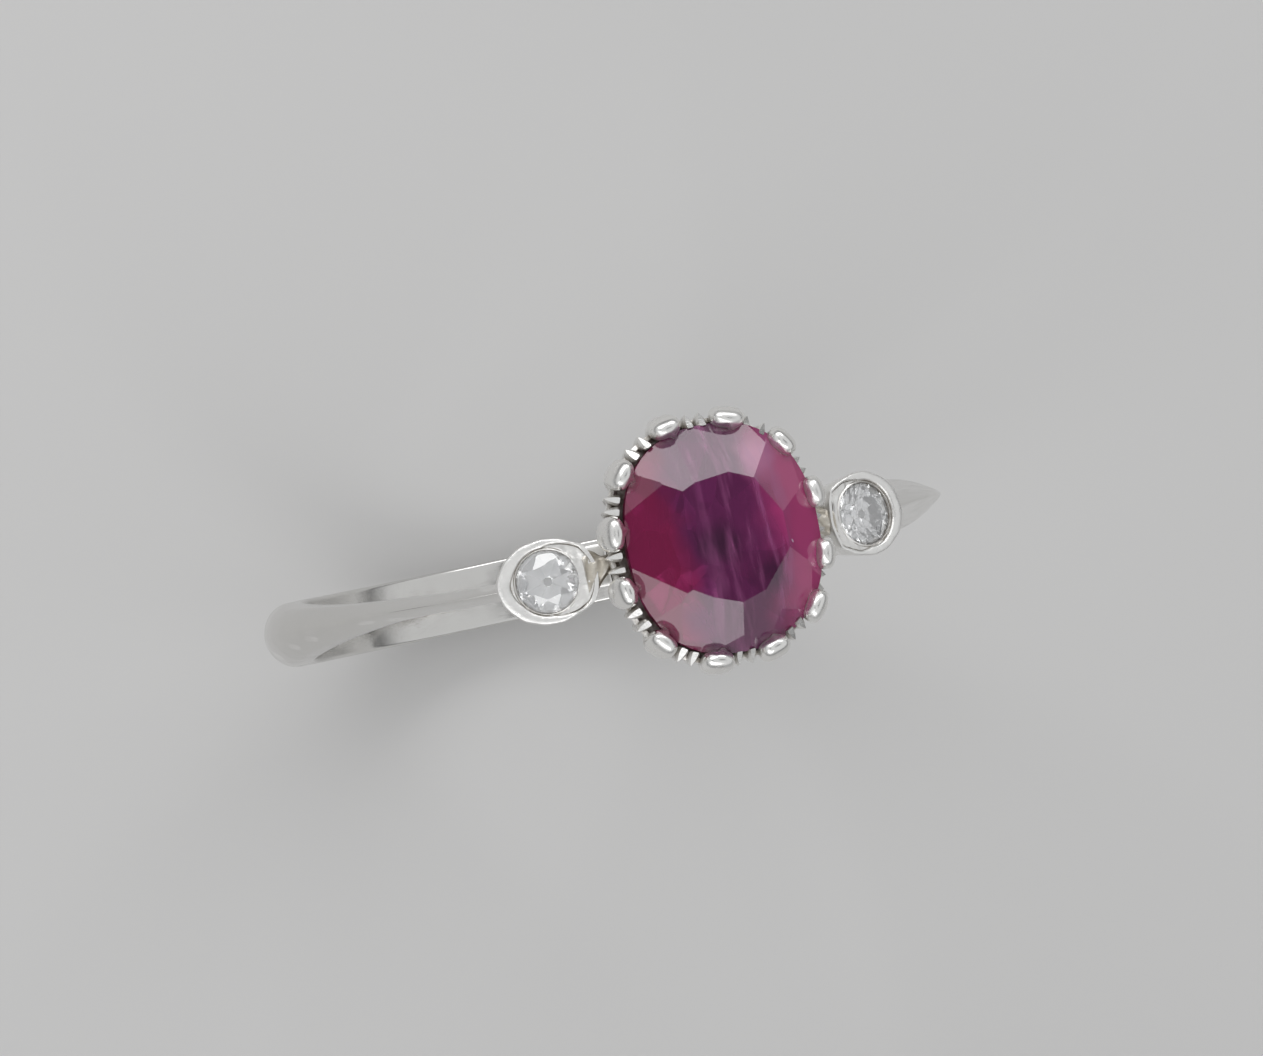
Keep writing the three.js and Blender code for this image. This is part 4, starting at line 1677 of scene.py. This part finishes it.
    def build(self, hoop: Hoop, finishes: Finishes) -> None:
        """Builds everything on this side of the coronet.

        Args:
            hoop: the hoop that the collet's solder joins.
            finishes: every material of the ring.
        """
        self.build_collet(finishes.tooled)
        self.build_seat(finishes.tooled)
        self.build_diamond(finishes.diamond)
        self.build_neck(finishes.solder)
        self.build_bar(finishes.inner)
        self.build_solder(hoop, finishes.rubbed)


# ---------------------------------------------------------------------------------------------------
# Studio
# ---------------------------------------------------------------------------------------------------


@dataclass(frozen=True)
class CameraRig:
    """A long lens that looks down on the ruby, a little from the left.

    Attributes:
        focus: the point of the ring that the view is set out from.
        distance: from that point to the camera.
        lens: focal length, on a 36 mm sensor.
        tilt: degrees that the camera stands towards -X.
        lean: degrees that it stands towards -Y.
        roll: degrees that the ring's X axis rises to the right in the view.
        aim: how far right and up of the focus the view's centre is.
    """

    focus: Vector
    distance: float = 250.0
    lens: float = 257.0
    tilt: float = 17.0
    lean: float = 0.6
    roll: float = 12.3
    aim: tuple[float, float] = (-2.53, 0.28)

    def build(self) -> None:
        """Makes the camera and gives it to the scene."""
        tilt, lean, roll = (math.radians(a) for a in (self.tilt, self.lean, self.roll))
        back = Vector((-math.sin(tilt) * math.cos(lean), -math.sin(lean), math.cos(tilt) * math.cos(lean)))
        level = Vector((math.cos(tilt), 0, math.sin(tilt)))
        rise = back.cross(level)
        right = level * math.cos(roll) - rise * math.sin(roll)
        up = level * math.sin(roll) + rise * math.cos(roll)
        target = self.focus + right * self.aim[0] + up * self.aim[1]
        data = bpy.data.cameras.new("Camera")
        data.lens = self.lens
        data.sensor_width = 36.0
        data.clip_start = 10 * MM
        data.clip_end = 2000 * MM
        camera = bpy.data.objects.new("Camera", data)
        turn = Matrix((right, up, back)).transposed().to_4x4()
        camera.matrix_world = Matrix.Translation((target + back * self.distance) * MM) @ turn
        bpy.context.scene.collection.objects.link(camera)
        bpy.context.scene.camera = camera


@dataclass(frozen=True)
class SoftBox:
    """A rectangular studio light that faces the ring.

    Attributes:
        name: the light's name.
        way: direction from the ring to the light.
        size: width and height.
        radiance: brightness of its surface.
        distance: from the ring's middle.
    """

    name: str
    way: tuple[float, float, float]
    size: tuple[float, float]
    radiance: float
    distance: float = 150.0

    def build(self) -> None:
        """Makes the light, hidden from the camera."""
        width, height = self.size[0] * MM, self.size[1] * MM
        data = bpy.data.lights.new(self.name, "AREA")
        data.shape = "RECTANGLE"
        data.size, data.size_y = width, height
        data.energy = self.radiance * math.pi * width * height
        light = bpy.data.objects.new(self.name, data)
        way = Vector(self.way).normalized()
        light.location = (way * self.distance + Vector((0, 0, 10))) * MM
        light.rotation_mode = "QUATERNION"
        light.rotation_quaternion = way.to_track_quat("Z", "Y")
        light.visible_camera = False
        bpy.context.scene.collection.objects.link(light)


@dataclass(frozen=True)
class Studio:
    """A pale floor, soft boxes at the ends of the bore, and a pale surround with two dark shades.

    Attributes:
        ring: places shared with the sub-assemblies.
        floor_size: side of the floor.
        pale: brightness of the surround.
        horizon: its brightness near the floor.
        dark: brightness of a shade.
        shades: direction of each shade, with how many degrees it reaches.
    """

    ring: RingFrame
    floor_size: float = 900.0
    pale: float = 0.7
    horizon: float = 0.16
    dark: float = 0.1
    shades: tuple[tuple[tuple[float, float, float], float], ...] = (
        ((0.29, -0.01, 0.96), 8.5),
        ((-0.59, 0.09, 0.8), 7.5),
    )

    def _floor(self) -> None:
        """Lays the floor under the shank."""
        half = self.floor_size / 2
        z = -self.ring.outer_radius
        mesh = bpy.data.meshes.new("Floor")
        corners = [(-half, -half, z), (half, -half, z), (half, half, z), (-half, half, z)]
        mesh.from_pydata([tuple(c * MM for c in corner) for corner in corners], [], [(0, 1, 2, 3)])
        floor = bpy.data.objects.new("Floor", mesh)
        bpy.context.scene.collection.objects.link(floor)
        material, _, shader = new_material("Pale paper")
        shader.inputs["Base Color"].default_value = (0.56, 0.555, 0.55, 1.0)
        shader.inputs["Roughness"].default_value = 0.9
        mesh.materials.append(material)

    def _surround(self) -> None:
        """Sets the light all round, with the shades that keep the ruby's table and left side deep."""
        world = bpy.data.worlds.new("Studio")
        world.use_nodes = True
        tree = NodeTree(world.node_tree)
        way = tree.add("TexCoord").outputs["Generated"]
        rise = tree.add("SeparateXYZ", {0: way}).outputs["Z"]
        light = tree.ramp(rise, 0.02, 0.3, self.horizon, self.pale)
        for middle, reach in self.shades:
            unit = Vector(middle).normalized()
            near = tree.add("VectorMath", {0: way, 1: unit}, operation="DOT_PRODUCT").outputs["Value"]
            inner, outer = math.cos(math.radians(reach * 0.75)), math.cos(math.radians(reach * 1.25))
            light = tree.math("MULTIPLY", light, tree.ramp(near, outer, inner, 1.0, self.dark / self.pale))
        background = world.node_tree.nodes["Background"]
        background.inputs["Color"].default_value = (0.98, 0.99, 1.0, 1.0)
        tree.put(background.inputs["Strength"], light)
        bpy.context.scene.world = world

    def build(self) -> None:
        """Makes the floor, the lights and the camera."""
        self._floor()
        self._surround()
        boxes = (
            SoftBox("Far box, left", (-0.29, 0.77, 0.55), (108, 64), 2.4),
            SoftBox("Far box, right", (0.41, 0.76, 0.5), (86, 52), 2.1),
            SoftBox("Near box, middle", (-0.3, -0.75, 0.58), (130, 60), 1.7),
            SoftBox("Near box, left", (-0.74, -0.27, 0.62), (44, 60), 1.3),
        )
        for box in boxes:
            box.build()
        CameraRig(Vector((0, 0, self.ring.girdle_z))).build()
        bpy.context.scene.view_settings.view_transform = "Standard"


def write_sizes() -> None:
    """Brings the scene's placements up to date."""
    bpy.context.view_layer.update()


def main() -> None:
    """Builds the ring and its studio."""
    logging.basicConfig(level=logging.INFO, format="%(name)s: %(message)s")
    ring = RingFrame.read()
    outline = CushionOutline(*ring.ruby_half)
    finishes = Finishes()
    hoop = Hoop(ring)
    hoop.build(finishes)
    Coronet(ring, outline).build(finishes)
    Ruby(ring, outline).build(finishes)
    SideCollet(ring, Side.LEFT).build(hoop, finishes)
    right = SideCollet(
        ring,
        Side.RIGHT,
        outer_reach=1.31,
        heel_reach=1.12,
        heel_bulge=0.17,
        heel_dip=0.03,
        neck_half=(0.24, 0.45),
    )
    right.build(hoop, finishes)
    Studio(ring).build()
    write_sizes()


if __name__ == "__main__":
    main()
